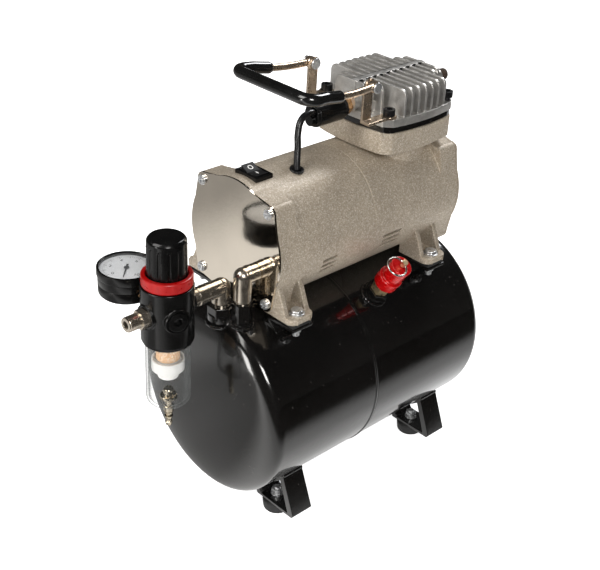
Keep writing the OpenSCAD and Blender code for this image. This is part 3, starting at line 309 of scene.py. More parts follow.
def softened(node, name, width=0.0004, segments=2, sharp=35, edge=40):
    """A copy of a CAD piece with its sharp edges broken, which stands for the piece itself."""
    source = frame["nodes"][node]
    bpy.ops.object.select_all(action="DESELECT")
    source.select_set(True)
    bpy.context.view_layer.objects.active = source
    bpy.ops.object.duplicate()
    piece = bpy.context.object
    piece.name = name
    del piece["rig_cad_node"]
    piece.data.materials.clear()
    bpy.ops.object.mode_set(mode="EDIT")
    bpy.ops.mesh.select_all(action="SELECT")
    bpy.ops.mesh.remove_doubles(threshold=0.000002)
    bpy.ops.mesh.customdata_custom_splitnormals_clear()
    bpy.ops.mesh.dissolve_limited(angle_limit=radians(0.6), use_dissolve_boundaries=False)
    bpy.ops.object.mode_set(mode="OBJECT")
    if width:
        worn = piece.modifiers.new("edges", "BEVEL")
        worn.width = width
        worn.segments = segments
        worn.limit_method = "ANGLE"
        worn.angle_limit = radians(sharp)
        worn.use_clamp_overlap = False
        worn.miter_outer = "MITER_ARC"
        bpy.ops.object.modifier_apply(modifier=worn.name)
    bpy.ops.object.shade_smooth_by_angle(angle=radians(edge))
    flat = piece.modifiers.new("flat faces", "WEIGHTED_NORMAL")
    flat.keep_sharp = True
    bpy.ops.object.modifier_apply(modifier=flat.name)
    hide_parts(node)
    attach(piece, source["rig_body"])
    return piece


def along_route(name, route, radius, sides=6, loop=False, smooth=True, swell=None):
    """A round rod, wire or bead along a route. swell gives each point its own share of the radius."""
    bpy.ops.object.select_all(action="DESELECT")
    bpy.ops.curve.primitive_bezier_curve_add(location=(0, 0, 0))
    rod = bpy.context.object
    rod.data.splines.clear()
    line = rod.data.splines.new("BEZIER")
    line.bezier_points.add(len(route) - 1)
    for i, place in enumerate(route):
        point = line.bezier_points[i]
        point.co = place
        point.handle_left_type = point.handle_right_type = "AUTO" if smooth else "VECTOR"
        point.radius = swell[i] if swell else 1
    line.use_cyclic_u = loop
    rod.data.dimensions = "3D"
    rod.data.resolution_u = 6 if smooth else 1
    rod.data.bevel_depth = radius
    rod.data.bevel_resolution = sides
    rod.data.use_fill_caps = not loop
    bpy.ops.object.convert(target="MESH")
    piece = bpy.context.object
    piece.name = name
    bpy.ops.object.mode_set(mode="EDIT")
    bpy.ops.mesh.select_all(action="SELECT")
    bpy.ops.mesh.remove_doubles(threshold=0.000002)
    bpy.ops.mesh.normals_make_consistent(inside=False)
    bpy.ops.object.mode_set(mode="OBJECT")
    bpy.ops.object.shade_smooth_by_angle(angle=radians(50))
    return piece


def skin_height(x, y):
    """Height of the tank's outer skin above the point (x, y)."""
    depth = min(0.999, (FRONT_Y - y) / FRONT_BULGE)
    here = TANK_R if y > FRONT_Y else TANK_R * max(0.05, 1 - depth ** FRONT_POWER) ** (1 / FRONT_POWER)
    return TANK_Z + sqrt(max(0.0, here * here - x * x))


def weld(name, route, radius=0.0011, loop=False):
    """A run of weld: a thin bead whose thickness comes and goes with each drop."""
    drops = [1 + 0.22 * (i % 2) - 0.1 * (i % 5 == 0) for i in range(len(route))]
    bead = along_route(name, route, radius, 4, loop, True, drops)
    bead.data.materials.append(black_enamel)
    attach(bead, "root")
    return bead


for name, x, y, reach in (("outlet", 0.010, -0.073, 0.0092), ("inlet", 0.023, -0.0655, 0.0078)):
    ring = [(x + reach * cos(radians(12 * k)), y + reach * sin(radians(12 * k))) for k in range(30)]
    weld("weld_round_" + name + "_bung",
         [(u, v, max(0.1625, skin_height(u, v) + 0.0004)) for u, v in ring], 0.0012, True)
ring = []
for k in range(30):
    turn = radians(35) + 0.0092 * sin(radians(12 * k)) / TANK_R
    ring.append(((TANK_R + 0.0003) * sin(turn), VALVE_Y + 0.0092 * cos(radians(12 * k)),
                 TANK_Z + (TANK_R + 0.0003) * cos(turn)))
weld("weld_round_valve_bung", ring, 0.0013, True)
for side in (-1, 1):
    for where, y in (("front", -0.0395), ("rear", 0.1095)):
        turn = radians(45.6)
        weld(f"weld_{where}_leg_{'right' if side > 0 else 'left'}",
             [(side * (TANK_R + 0.0008) * sin(turn), y - 0.009 + 0.0009 * k,
               TANK_Z - (TANK_R + 0.0008) * cos(turn)) for k in range(21)])
    for where, y in (("front", -0.040), ("rear", 0.0955)):
        weld(f"weld_{where}_cradle_{'right' if side > 0 else 'left'}",
             [(side * 0.0446, y - 0.0085 + 0.00085 * k, skin_height(0.0446, 0) + 0.0004) for k in range(21)])
bungs = softened("tank_bungs", "welded_bungs", 0.0005)
bungs.data.materials.append(black_enamel)

# ---- Legs and rubber feet ----
# Each leg is one strip of steel bent into a saddle with two triangular feet and coated with
# the tank. Turned rubber feet are held under them by a screw, a washer and a nut.

for node in ("front_leg", "rear_leg"):
    leg = softened(node, node + "_strap", 0.0006, 3)
    leg.data.materials.append(black_enamel)
black_rubber = finish("black_rubber", (0.020, 0.020, 0.020), rough=0.62, mottle=0.25, mottle_size=0.008,
                      rough_spread=0.08,
                      grain=0.25, grain_size=0.0007, specular=0.35)
feet = softened("rubber_feet", "moulded_feet", 0.0007, 3)
feet.data.materials.append(black_rubber)
zinc_plate = finish("zinc_plate", (0.74, 0.75, 0.76), metal=0.85, rough=0.30, mottle=0.10, mottle_size=0.004,
                    rough_spread=0.09,
                    grain=0.10, grain_size=0.0009)
foot_screws = softened("foot_bolts", "foot_screws", 0.0003, 2)
foot_screws.data.materials.append(zinc_plate)

# ---- Motor cradles ----
# Folded steel tabs welded to the tank carry the motor on four rubber pads. A domed screw
# with a washer clamps each cast foot, and its nut sits under the tab.

cradles = softened("motor_cradles", "cradle_tabs", 0.0004, 2)
cradles.data.materials.append(black_enamel)
pads = softened("cradle_pads", "rubber_pads", 0.0004, 2)
pads.data.materials.append(black_rubber)
motor_screws = softened("motor_foot_bolts", "motor_screws", 0.0009, 4, 60)
motor_screws.data.materials.append(zinc_plate)

# ---- Tank drain ----
# A brass thumb screw closes the lowest point of the tank. It is turned out by hand to let
# the water run off.

yellow_brass = finish("yellow_brass", (0.72, 0.55, 0.32), metal=0.9, rough=0.30, mottle=0.12,
                      mottle_size=0.004, rough_spread=0.08,
                      grain=0.08, grain_size=0.0008)
drain = softened("drain_screw", "drain_thumb_screw", 0.0003, 2)
drain.data.materials.append(yellow_brass)

# ---- Motor castings ----
# Two die-cast aluminium barrels with their feet cast on, sprayed with a champagne silver
# lacquer full of fine flakes. Their ends are closed by covers held by four screws.

silver_lacquer = finish("silver_lacquer", (0.43, 0.365, 0.285), metal=0.36, rough=0.55, mottle=0.07,
                        mottle_size=0.018,
                        rough_spread=0.05, grain=0.30, grain_size=0.0009, coat=0.15, coat_rough=0.2)
sprinkled(silver_lacquer, (0.88, 0.82, 0.72), 0.35, 0.00062, 0.55)
sprinkled(silver_lacquer, (0.16, 0.13, 0.09), 0.28, 0.00072, 0.42)
for node, name, wear in (("motor_housing", "front_barrel", 0.0007), ("crankcase", "rear_barrel", 0.0007),
                         ("rear_cover", "rear_end_cover", 0)):
    casting = softened(node, name, wear, 3, 30)
    casting.data.materials.append(silver_lacquer)

# ---- Front cover ----
# A flat plate of polished stainless steel. It mirrors the gauge and the fittings before it.

polished_steel = finish("polished_steel", (0.84, 0.76, 0.65), metal=1, rough=0.075, mottle=0.05,
                        mottle_size=0.03,
                        rough_spread=0.03, grain=0.015, grain_size=0.003)
mirror_plate = softened("front_cover", "mirror_plate", 0, edge=1)
mirror_plate.data.materials.append(polished_steel)
cover_pans = softened("cover_screws", "cover_pan_screws", 0.00025, 2)
cover_pans.data.materials.append(zinc_plate)

# ---- Inside the motor and the pump ----
# Rolled and ground steel parts on one shaft, a wound stator and a plastic fan. The covers
# hide them, so the CAD pieces stay and take their real finishes.

ground_steel = finish("ground_steel", (0.50, 0.50, 0.51), metal=1, rough=0.30, mottle=0.10,
                      mottle_size=0.006, rough_spread=0.08,
                      grain=0.12, grain_size=0.0006)
copper_wire = finish("enamelled_copper", (0.50, 0.20, 0.07), metal=0.6, rough=0.32, mottle=0.18,
                     mottle_size=0.002,
                     grain=0.5, grain_size=0.0009)
black_plastic = finish("black_plastic", (0.004, 0.004, 0.004), rough=0.19, mottle=0.25, mottle_size=0.01,
                       rough_spread=0.05,
                       grain=0.06, grain_size=0.0012, specular=0.32)
cup_rubber = finish("seal_compound", (0.07, 0.06, 0.05), rough=0.6, mottle=0.2, mottle_size=0.003, grain=0.3,
                    grain_size=0.0007)
inside = {"stator_core": ground_steel, "rotor": ground_steel, "motor_shaft": ground_steel,
          "shaft_bearings": ground_steel,
          "crank_eccentric": ground_steel, "piston_rod": ground_steel, "cylinder_sleeve": ground_steel,
          "stator_windings": copper_wire, "cooling_fan": black_plastic, "piston_cup": cup_rubber}
for node, worn_finish in inside.items():
    frame["nodes"][node].data.materials.clear()
    frame["nodes"][node].data.materials.append(worn_finish)

# ---- Pump head ----
# A finned aluminium casting, left bare, on a black plate with a gasket. Four black socket
# screws clamp the pile, and a small felt filter on the back takes in the air.

cast_aluminium = finish("cast_aluminium", (0.58, 0.565, 0.54), metal=0.80, rough=0.36, mottle=0.12,
                        mottle_size=0.005,
                        rough_spread=0.08, grain=0.45, grain_size=0.0008)
sprinkled(cast_aluminium, (0.88, 0.87, 0.85), 0.25, 0.0006, 0.30)
head = softened("cylinder_head", "finned_head", 0.0005, 3, 30)
head.data.materials.append(cast_aluminium)
plate = softened("valve_plate", "gasket_plate", 0.0005, 2)
plate.data.materials.append(black_enamel)
blackened_steel = finish("blackened_steel", (0.012, 0.012, 0.013), metal=0.4, rough=0.33, mottle=0.3,
                         mottle_size=0.003,
                         rough_spread=0.1, grain=0.25, grain_size=0.0006)
socket_screws = softened("head_bolts", "socket_screws", 0.0003, 2)
socket_screws.data.materials.append(blackened_steel)
felt = finish("dark_felt", (0.05, 0.03, 0.02), rough=0.8, mottle=0.4, mottle_size=0.0015, grain=0.9,
              grain_size=0.0006)
intake = softened("intake_filter", "felt_intake", 0.0003, 2)
intake.data.materials.append(felt)

# ---- Pressure switch ----
# A sealed switch in a black moulded barrel, screwed to the head by a brass nipple. Its
# cable drops into a grommet in the motor barrel.

barrel = softened("pressure_switch", "switch_barrel", 0.0006, 3)
barrel.data.materials.append(black_plastic)
old_brass = finish("old_brass", (0.50, 0.30, 0.15), metal=1, rough=0.26, mottle=0.18, mottle_size=0.004,
                   rough_spread=0.08,
                   grain=0.08, grain_size=0.0008)
nipple = softened("switch_nipple", "brass_nipple", 0.0004, 2)
nipple.data.materials.append(old_brass)
cable_skin = finish("cable_skin", (0.010, 0.010, 0.011), rough=0.28, mottle=0.2, mottle_size=0.01,
                    grain=0.08, grain_size=0.0009)
cable = along_route("switch_lead",
                    [(0.0020, 0.0130, 0.2900), (0.0020, 0.0070, 0.2903), (0.0026, 0.0005, 0.2878),
                                    (0.0043, -0.0037, 0.2800), (0.0068, -0.0057, 0.2715),
                                    (0.0092, -0.0080, 0.2632),
                                    (0.0109, -0.0095, 0.2572)], 0.0023, 8)
cable.data.materials.append(cable_skin)
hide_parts("switch_cable")
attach(cable, "root")
grommet = softened("cable_grommet", "rubber_grommet", 0.0004, 3)
grommet.data.materials.append(cable_skin)

# ---- Rocker switch ----
# A snap-in rocker in a moulded frame. The button carries a printed ring and a bar, and rests
# pressed on the bar's side.

rocker_frame = softened("rocker_frame", "snap_in_frame", 0.0004, 2)
rocker_frame.data.materials.append(black_plastic)
button = softened("rocker_button", "rocker_paddle", 0.0004, 2, 20)
matt_plastic = finish("matt_plastic", (0.006, 0.006, 0.006), rough=0.48, mottle=0.25, mottle_size=0.004,
                      rough_spread=0.05,
                      grain=0.12, grain_size=0.0006, specular=0.25)
button.data.materials.append(matt_plastic)
white_print = finish("white_print", (0.80, 0.80, 0.78), rough=0.5, mottle=0.06, mottle_size=0.001, grain=0.1,
                     grain_size=0.0004)


def on_button(piece, x, slope):
    """Lays a mark on the rocker's button, x across it from the pivot, and makes it ride there."""
    out = abs(x) * 1000
    rise = (out - 3.8) * 0.29 + 0.5 if out > 3.8 else out * 0.13
    lift = 0.00140 + max(0.0, rise) / 1000 + 0.00006
    piece.rotation_euler = (0, radians(9) - slope, 0)
    piece.location = Vector((0, -0.038, 0.2589)) + Matrix.Rotation(radians(9), 3, "Y") @ Vector((x, 0, lift))
    bpy.ops.object.select_all(action="DESELECT")
    piece.select_set(True)
    bpy.context.view_layer.objects.active = piece
    bpy.ops.object.transform_apply(location=True, rotation=True, scale=True)
    piece.data.materials.append(white_print)
    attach(piece, "rocker")


o_mark = turned("off_ring", [(0.0013, 0), (0.0020, 0), (0.0020, 0.0001), (0.0013, 0.0001), (0.0013, 0)],
                steps=32)
on_button(o_mark, -0.0040, -0.20)
bpy.ops.object.select_all(action="DESELECT")
bpy.ops.mesh.primitive_cube_add(size=1, scale=(0.0044, 0.0009, 0.0001))
i_mark = bpy.context.object
i_mark.name = "on_bar"
bpy.ops.object.transform_apply(location=True, rotation=True, scale=True)
bpy.ops.object.mode_set(mode="EDIT")
bpy.ops.mesh.select_all(action="SELECT")
bpy.ops.mesh.bevel(offset=0.00003, segments=1)
bpy.ops.object.mode_set(mode="OBJECT")
on_button(i_mark, 0.0036, 0.13)

# ---- Carrying handle ----
# A bail of bright wire, its ends curled round rivets in two strips held by the front head
# screws, with a glossy black sleeve pushed over the wire.

warm_nickel = finish("warm_nickel", (0.55, 0.44, 0.33), metal=0.9, rough=0.26, mottle=0.14,
                     mottle_size=0.006, rough_spread=0.06,
                     grain=0.10, grain_size=0.0010)
strips = softened("handle_brackets", "handle_strips", 0.0005, 3)
strips.data.materials.append(warm_nickel)
rivets = softened("handle_pivots", "handle_rivets", 0.0006, 3)
rivets.data.materials.append(zinc_plate)

PIVOT = Vector((0, 0.0384, 0.311))
EYE, HALF, REACH, BEND = 0.0304, 0.036, 0.0645, 0.008
TILT = radians(5)


def on_bail(across, out, up=0.0):
    """A point of the resting bail: across it, out from its pivots, and up from its own plane."""
    return PIVOT + Vector((across, -out * cos(TILT) + up * sin(TILT), out * sin(TILT) + up * cos(TILT)))


def bail_route(start, step=6):
    """Centre line of the bail from start, measured along the right arm, round to the left arm."""
    side = []
    for k in range(0, 12):
        far = start + (REACH - BEND - start) * k / 12
        share = far / (REACH - BEND)
        dip = -0.0016 * sin(pi * min(1.0, share * 1.15)) if share < 0.87 else 0
        side.append(on_bail(EYE + (HALF - EYE) * share, far, dip))
    for a in range(0, 91, step):
        side.append(on_bail(HALF - BEND + BEND * cos(radians(a)), REACH - BEND + BEND * sin(radians(a))))
    return side + [Vector((-p.x, p.y, p.z)) for p in reversed(side)]


bail = along_route("wire_bail", bail_route(0.0042), 0.0025, 8)
bail.data.materials.append(warm_nickel)
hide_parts("handle_bail")
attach(bail, "handle")
for side in (-1, 1):
    middle = side * EYE
    eye = turned("bail_eye_" + ("right" if side > 0 else "left"),
                 [(0.0023, -0.0021), (0.0034, -0.0023), (0.0040, -0.0017), (0.0042, 0), (0.0040, 0.0017),
                  (0.0034, 0.0023),
                  (0.0023, 0.0021), (0.0023, -0.0021)], PIVOT + Vector((middle, 0, 0)), (1, 0, 0), 40)
    eye.data.materials.append(warm_nickel)
    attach(eye, "handle")
gloss_sleeve = finish("gloss_sleeve", (0.006, 0.006, 0.006), rough=0.13, mottle=0.3, mottle_size=0.012,
                      rough_spread=0.04,
                      grain=0.05, grain_size=0.002, coat=0.5, coat_rough=0.05)
sleeve_route = bail_route(0.0338)
sleeve = along_route("handle_sleeve", sleeve_route, 0.0041, 8, False, True,
                     [0.80 if i in (0, len(sleeve_route) - 1) else 1 for i in range(len(sleeve_route))])
sleeve.data.materials.append(gloss_sleeve)
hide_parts("handle_grip")
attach(sleeve, "handle")

# ---- Air elbows ----
# Two nickel-plated cast elbows: one leads from the pump into the tank and the other from the
# tank to the regulator. A low turned band goes round the level arm of each.

PORT_Z = 0.1893
bright_nickel = finish("bright_nickel", (0.56, 0.50, 0.42), metal=0.95, rough=0.22, mottle=0.16,
                       mottle_size=0.007, rough_spread=0.07,
                       grain=0.04, grain_size=0.0016)
for node, name, x, y, foot, arm_z, radius, far, way in (
        ("inlet_elbow", "pump_elbow", 0.023, -0.0655, 0.181, 0.2003, 0.0063, 0.0115, 1),
        ("outlet_elbow", "regulator_elbow", 0.010, -0.073, 0.176, PORT_Z, 0.0064, 0.0270, -1)):
    upright = [(0, foot), (radius - 0.0010, foot), (radius - 0.0010, foot + 0.0016),
               (radius - 0.0003, foot + 0.0020), (radius, foot + 0.0024)]
    upright += [(radius * cos(radians(a)), arm_z + radius * sin(radians(a))) for a in range(0, 91, 6)]
    upright[-1] = (0, arm_z + radius)
    stem_part = turned(name, upright, (x, y, 0), steps=56, edge=35)
    arm = radius - 0.0002
    level = [(0, 0), (arm, 0), (arm, far - 0.0078), (arm + 0.0003, far - 0.0074),
             (arm + 0.0003, far - 0.0058), (arm, far - 0.0054),
             (arm, far - 0.0008), (arm - 0.0006, far), (0, far)]
    arm_part = turned(name + "_arm", level, (x, y, arm_z), (0, way, 0), 56, 35)
    bpy.ops.object.select_all(action="DESELECT")
    arm_part.select_set(True)
    stem_part.select_set(True)
    bpy.context.view_layer.objects.active = stem_part
    bpy.ops.object.join()
    stem_part.data.materials.append(bright_nickel)
    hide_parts(node)
    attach(stem_part, "root")

# ---- Safety valve ----
# A brass valve with a red anodised cap. Pulling its split ring lifts the stem and lets the
# air out.

valve_body = softened("safety_valve_body", "valve_hexagon", 0.0004, 2)
valve_body.data.materials.append(yellow_brass)
red_cap = finish("red_anodised", (0.50, 0.002, 0.003), metal=0.15, rough=0.24, mottle=0.18,
                 mottle_size=0.003, rough_spread=0.08,
                 grain=0.10, grain_size=0.0010, coat=0.5, coat_rough=0.08)
cap = softened("safety_valve_cap", "valve_cap", 0.0008, 4)
cap.data.materials.append(red_cap)
stem = softened("safety_valve_stem", "valve_stem", 0.0003, 2)
stem.data.materials.append(yellow_brass)
bright_steel = finish("bright_steel", (0.62, 0.61, 0.58), metal=1, rough=0.20, mottle=0.10,
                      mottle_size=0.003, rough_spread=0.06,
                      grain=0.06, grain_size=0.0008)
LEAN = radians(35)
OUT, DOWN = Vector((sin(LEAN), 0, cos(LEAN))), Vector((cos(LEAN), 0, -sin(LEAN)))
ring_middle = Vector((0, VALVE_Y, TANK_Z)) + OUT * (TANK_R + 0.0415 + 0.0028) + Vector((0, -0.0072, 0))
split = along_route("split_ring",
                    [ring_middle + 0.0072 * (cos(radians(15 * k)) * Vector((0, 1,
                                                                            0)) + sin(radians(15 * k)) * DOWN)
                                   for k in range(24)], 0.0007, 4, True)
split.data.materials.append(bright_steel)
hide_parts("pull_ring")
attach(split, "ring")

# ---- Regulator ----
# A glossy black moulded body with a red knurled ring and a fluted knob that locks when it is
# pushed down. The screw under the knob sets the pressure.

REGULATOR = Vector((0.010, -0.1175, 0))
body = softened("regulator_body", "regulator_shell", 0.0007, 3)
body.data.materials.append(black_plastic)
knob = softened("regulator_knob", "fluted_knob", 0.0007, 3)
knob.data.materials.append(black_plastic)
spindle = frame["nodes"]["adjusting_screw"]
spindle.data.materials.clear()
spindle.data.materials.append(ground_steel)
red_plastic = finish("red_plastic", (0.36, 0.001, 0.001), rough=0.34, mottle=0.15, mottle_size=0.003,
                     rough_spread=0.08,
                     grain=0.15, grain_size=0.0009)
knurl = turned("knurled_ring",
               [(0.0137, 0.2084), (0.0137, 0.2156), (0.0141, 0.2160), (0.0160, 0.2160), (0.01655, 0.2157),
                (0.0168, 0.2152),
                                (0.0168, 0.2092), (0.0164, 0.2084), (0.0137, 0.2084)], REGULATOR, steps=144)
for polygon in knurl.data.polygons:
    middle = polygon.center - REGULATOR
    outer = middle.xy.length > 0.0163 and polygon.normal.xy.length > 0.5
    polygon.select = outer and round(72 * atan2(middle.y, middle.x) / pi - 0.5) % 4 < 2
bpy.ops.object.select_all(action="DESELECT")
knurl.select_set(True)
bpy.context.view_layer.objects.active = knurl
bpy.ops.object.mode_set(mode="EDIT")
bpy.ops.mesh.select_mode(type="FACE")
bpy.ops.mesh.extrude_region_shrink_fatten(TRANSFORM_OT_shrink_fatten={"value": -0.00045})
bpy.ops.mesh.select_mode(type="VERT")
bpy.ops.object.mode_set(mode="OBJECT")
bpy.ops.object.shade_smooth_by_angle(angle=radians(20))
knurl.data.materials.append(red_plastic)
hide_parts("panel_ring")
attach(knurl, "root")

plug = softened("port_plug", "hollow_plug", 0.0004, 2)
plug.data.materials.append(black_plastic)
TURN = radians(-16)
rim = turned("port_rim",
             [(0.0074, 0), (0.0084, 0), (0.0084, 0.0004), (0.0081, 0.0008), (0.0077, 0.0008),
              (0.0074, 0.0004), (0.0074, 0)],
             REGULATOR + Vector((0.0180 * cos(TURN), 0.0180 * sin(TURN), PORT_Z)), (cos(TURN), sin(TURN), 0),
             48)
rim.data.materials.append(black_plastic)
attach(rim, "root")


def threaded(radius, start, length, depth=0.0005, pitch=0.0011):
    """Outline of a threaded length: crests and roots, with a chamfer at each end."""
    turns = int(length / pitch)
    outline = [(0, start), (radius - depth, start)]
    for k in range(turns):
        outline += [(radius - depth, start + pitch * (k + 0.25)), (radius, start + pitch * (k + 0.5)),
                    (radius - depth, start + pitch * (k + 0.95))]
    return outline + [(radius - depth, start + length), (0, start + length)]


outlet = softened("outlet_fitting", "outlet_hexagon", 0.0003, 2)
outlet.data.materials.append(bright_nickel)
thread_form = [(0.0028, 0.0060), (0.0028, 0.0004), (0.0032, 0)] + threaded(0.0052, 0,
                                                                           0.0085)[1:-1] + [(0.0028, 0.0085),
                                                                                            (0.0028, 0.0060)]
threads = turned("outlet_threads", thread_form, (REGULATOR.x, -0.1495, PORT_Z), (0, 1, 0), 40)
threads.data.materials.append(bright_nickel)
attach(threads, "root")

# ---- Filter bowl ----
# A clear moulded cup under the regulator, with a sintered filter held on a white baffle. The
# drain stem in its floor is pushed up to let the water out.

clear_plastic = finish("clear_plastic", (0.17, 0.18, 0.18), rough=0.05, mottle=0.05, mottle_size=0.01,
                       rough_spread=0.02,
                       grain=0.02, grain_size=0.004)
glass, bonds = clear_plastic.node_tree.nodes, clear_plastic.node_tree.links
slant = glass.new("ShaderNodeLayerWeight")
slant.inputs["Blend"].default_value = 0.5
density = glass.new("ShaderNodeMapRange")
density.inputs["From Min"].default_value = 0.42
density.inputs["To Min"].default_value, density.inputs["To Max"].default_value = 0.05, 0.85
bonds.new(slant.outputs["Facing"], density.inputs["Value"])
bonds.new(density.outputs["Result"], glass["Principled BSDF"].inputs["Alpha"])
bowl = turned("clear_bowl",
              [(0.0024, 0.1170), (0.0044, 0.1165), (0.0052, 0.1172), (0.0060, 0.1180), (0.0100, 0.1180),
               (0.0119, 0.1184),
                             (0.0135, 0.1195), (0.0146, 0.1211), (0.0150, 0.1230), (0.0150, 0.1730),
                             (0.0132, 0.1730), (0.0132, 0.1232),
                             (0.0128, 0.1218), (0.0120, 0.1207), (0.0108, 0.1199), (0.0098, 0.1197),
                             (0.0024, 0.1197), (0.0024, 0.1170)],
              REGULATOR, steps=72)
bowl.data.materials.append(clear_plastic)
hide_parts("filter_bowl")
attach(bowl, "root")
white_plastic = finish("white_plastic", (0.82, 0.82, 0.80), rough=0.38, mottle=0.04, mottle_size=0.004,
                       rough_spread=0.06,
                       grain=0.10, grain_size=0.0008)
baffle = softened("filter_baffle", "baffle_cup", 0.0004, 2)
baffle.data.materials.append(white_plastic)
sintered = finish("sintered_bronze", (0.86, 0.52, 0.30), metal=0.1, rough=0.6, mottle=0.25,
                  mottle_size=0.0012, rough_spread=0.1,
                  grain=0.9, grain_size=0.0006)
sprinkled(sintered, (0.98, 0.86, 0.72), 0.45, 0.0007, 0.9)
element = softened("filter_element", "sintered_filter", 0.0004, 2)
element.data.materials.append(sintered)
drain_nickel = finish("drain_nickel", (0.52, 0.46, 0.36), metal=1, rough=0.22, mottle=0.18,
                      mottle_size=0.003, rough_spread=0.08,
                      grain=0.10, grain_size=0.0008)
nozzle = turned("drain_stem",
                [(0, 0.0970), (0.0017, 0.0970), (0.0021, 0.0975), (0.0026, 0.1000), (0.0019, 0.1008),
                 (0.0019, 0.1022),
                               (0.0022, 0.1026), (0.0029, 0.1046), (0.0029, 0.1050), (0.0020, 0.1052),
                               (0.0020, 0.1060), (0.0023, 0.1063),
                               (0.0030, 0.1078), (0.0030, 0.1082), (0.0021, 0.1085), (0.0024, 0.1090),
                               (0.0034, 0.1091), (0.0036, 0.1094),
                               (0.0036, 0.1132), (0.0033, 0.1135), (0.0024, 0.1136), (0.0024, 0.1198),
                               (0.0056, 0.1198), (0.0060, 0.1202),
                               (0.0060, 0.1218), (0.0057, 0.1223), (0.0036, 0.1224), (0.0034, 0.1228),
                               (0.0034, 0.1268), (0.0030, 0.1273),
                               (0, 0.1273)], REGULATOR, steps=48)
nozzle.data.materials.append(drain_nickel)
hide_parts("bowl_drain")
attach(nozzle, "drain_valve")

# ---- Pressure gauge ----
# A flat gauge in a black case, its bezel pressed on with a step, screwed to the regulator by
# a brass stem. The white dial is printed with a plain scale under a clear lens.

GAUGE = REGULATOR - Vector((0.044, 0, 0))
case = turned("gauge_can",
              [(0, 0.1820), (0.0174, 0.1820), (0.0184, 0.1824), (0.0192, 0.1834), (0.0194, 0.1842),
               (0.0194, 0.1900),
                            (0.0193, 0.1902), (0.0193, 0.1905), (0.0194, 0.1907), (0.0194, 0.1956),
                            (0.0198, 0.1960), (0.0200, 0.1965),
                            (0.0200, 0.2010), (0.01985, 0.2017), (0.0193, 0.2020), (0.0188, 0.2020),
                            (0.0184, 0.2017), (0.0182, 0.2012),
                            (0.0182, 0.1985), (0.0176, 0.1985), (0.0176, 0.1840), (0, 0.1840)], GAUGE,
                            steps=96, edge=28)
case.data.materials.append(black_plastic)
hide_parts("gauge_case")
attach(case, "root")
gauge_stem = turned("gauge_stem",
                    [(0, -0.0185), (0.0040, -0.0185), (0.0040, -0.0145), (0.0044, -0.0140),
                     (0.0050, -0.0080), (0, -0.0080),
                                   (0, -0.0185)], (0, REGULATOR.y, PORT_Z), (1, 0, 0), 40)
gauge_stem.data.materials.append(old_brass)
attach(gauge_stem, "root")
bpy.ops.object.select_all(action="DESELECT")
bpy.ops.mesh.primitive_cylinder_add(vertices=6, radius=0.0055, depth=0.0064,
                                    location=(-0.0112, REGULATOR.y, PORT_Z), rotation=(0, radians(90), 0))
gauge_nut = bpy.context.object
gauge_nut.name = "gauge_hexagon"
bpy.ops.object.transform_apply(location=True, rotation=True, scale=True)
bpy.ops.object.mode_set(mode="EDIT")
bpy.ops.mesh.select_all(action="SELECT")
bpy.ops.mesh.bevel(offset=0.0004, segments=2)
bpy.ops.object.mode_set(mode="OBJECT")
gauge_nut.data.materials.append(old_brass)
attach(gauge_nut, "root")

dial_white = finish("dial_white", (0.86, 0.875, 0.90), rough=0.45, mottle=0.02, mottle_size=0.006,
                    grain=0.04, grain_size=0.0006)
dial = softened("gauge_dial", "dial_plate", 0.00015, 1)
dial.data.materials.append(dial_white)
black_print = finish("black_print", (0.03, 0.03, 0.035), rough=0.5, mottle=0.15, mottle_size=0.001,
                     grain=0.1, grain_size=0.0004)
DIAL_TOP = 0.19952


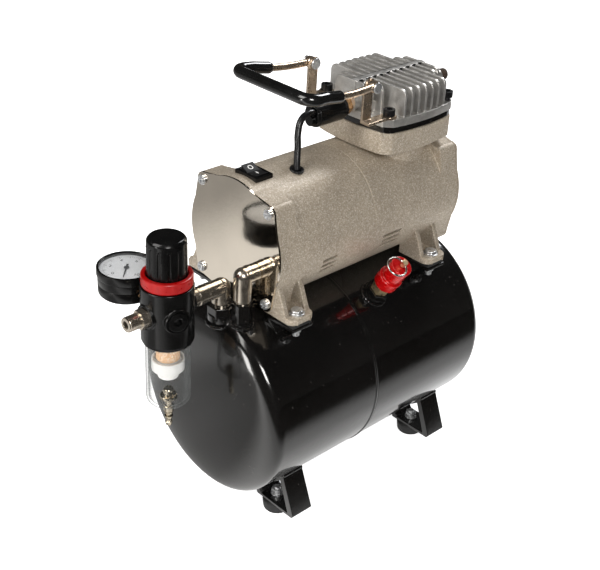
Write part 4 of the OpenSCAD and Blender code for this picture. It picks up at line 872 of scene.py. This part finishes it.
def printed(piece, place, turn):
    """Lays a mark on the dial, moved to place and turned about the dial's middle."""
    bpy.ops.object.select_all(action="DESELECT")
    piece.select_set(True)
    bpy.context.view_layer.objects.active = piece
    piece.location = place
    piece.rotation_euler = (0, 0, turn)
    bpy.ops.object.transform_apply(location=True, rotation=True, scale=True)
    piece.data.materials.clear()
    piece.data.materials.append(black_print)
    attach(piece, "root")


FACING = radians(45)
MARK_REACH, MARK_DEEP = 0.0160, 0.00005
mark_patterns = []
for length, width in ((0.0024, 0.00032), (0.0013, 0.00018)):
    bpy.ops.object.select_all(action="DESELECT")
    bpy.ops.mesh.primitive_cube_add(size=1, scale=(length, width, MARK_DEEP))
    bpy.ops.object.transform_apply(location=True, rotation=True, scale=True)
    mark_patterns.append((bpy.context.object, length))
for mark in range(51):
    pattern, length = mark_patterns[0 if mark % 5 == 0 else 1]
    turn = FACING + radians(225 - 5.4 * mark)
    reach = MARK_REACH - length / 2
    bpy.ops.object.select_all(action="DESELECT")
    pattern.select_set(True)
    bpy.context.view_layer.objects.active = pattern
    bpy.ops.object.duplicate()
    tick = bpy.context.object
    tick.name = f"dial_mark_{mark:02d}"
    printed(tick, GAUGE + Vector((reach * cos(turn), reach * sin(turn), DIAL_TOP)), turn)
bpy.ops.object.select_all(action="DESELECT")
for pattern, length in mark_patterns:
    pattern.select_set(True)
bpy.ops.object.delete()
for number in range(0, 11, 2):
    turn = FACING + radians(225 - 27 * number)
    bpy.ops.object.select_all(action="DESELECT")
    bpy.ops.object.text_add(location=(0, 0, 0))
    figure = bpy.context.object
    figure.data.body = str(number)
    figure.data.align_x = figure.data.align_y = "CENTER"
    figure.data.size = 0.0040
    figure.data.extrude = 0.00004
    bpy.ops.object.convert(target="MESH")
    figure = bpy.context.object
    figure.name = f"dial_number_{number:02d}"
    printed(figure, GAUGE + Vector((0.0112 * cos(turn), 0.0112 * sin(turn), DIAL_TOP)), FACING)
needle = softened("gauge_needle", "pointer", 0.0001, 1)
needle.data.materials.append(black_print)
lens = turned("gauge_glass",
              [(0, 0.2007), (0.0170, 0.2007), (0.0181, 0.2007), (0.0181, 0.2012), (0.0172, 0.2016),
               (0.0120, 0.2018), (0, 0.2019)],
              GAUGE, steps=72, edge=20)
lens.data.materials.append(clear_plastic)
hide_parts("gauge_lens")
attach(lens, "root")
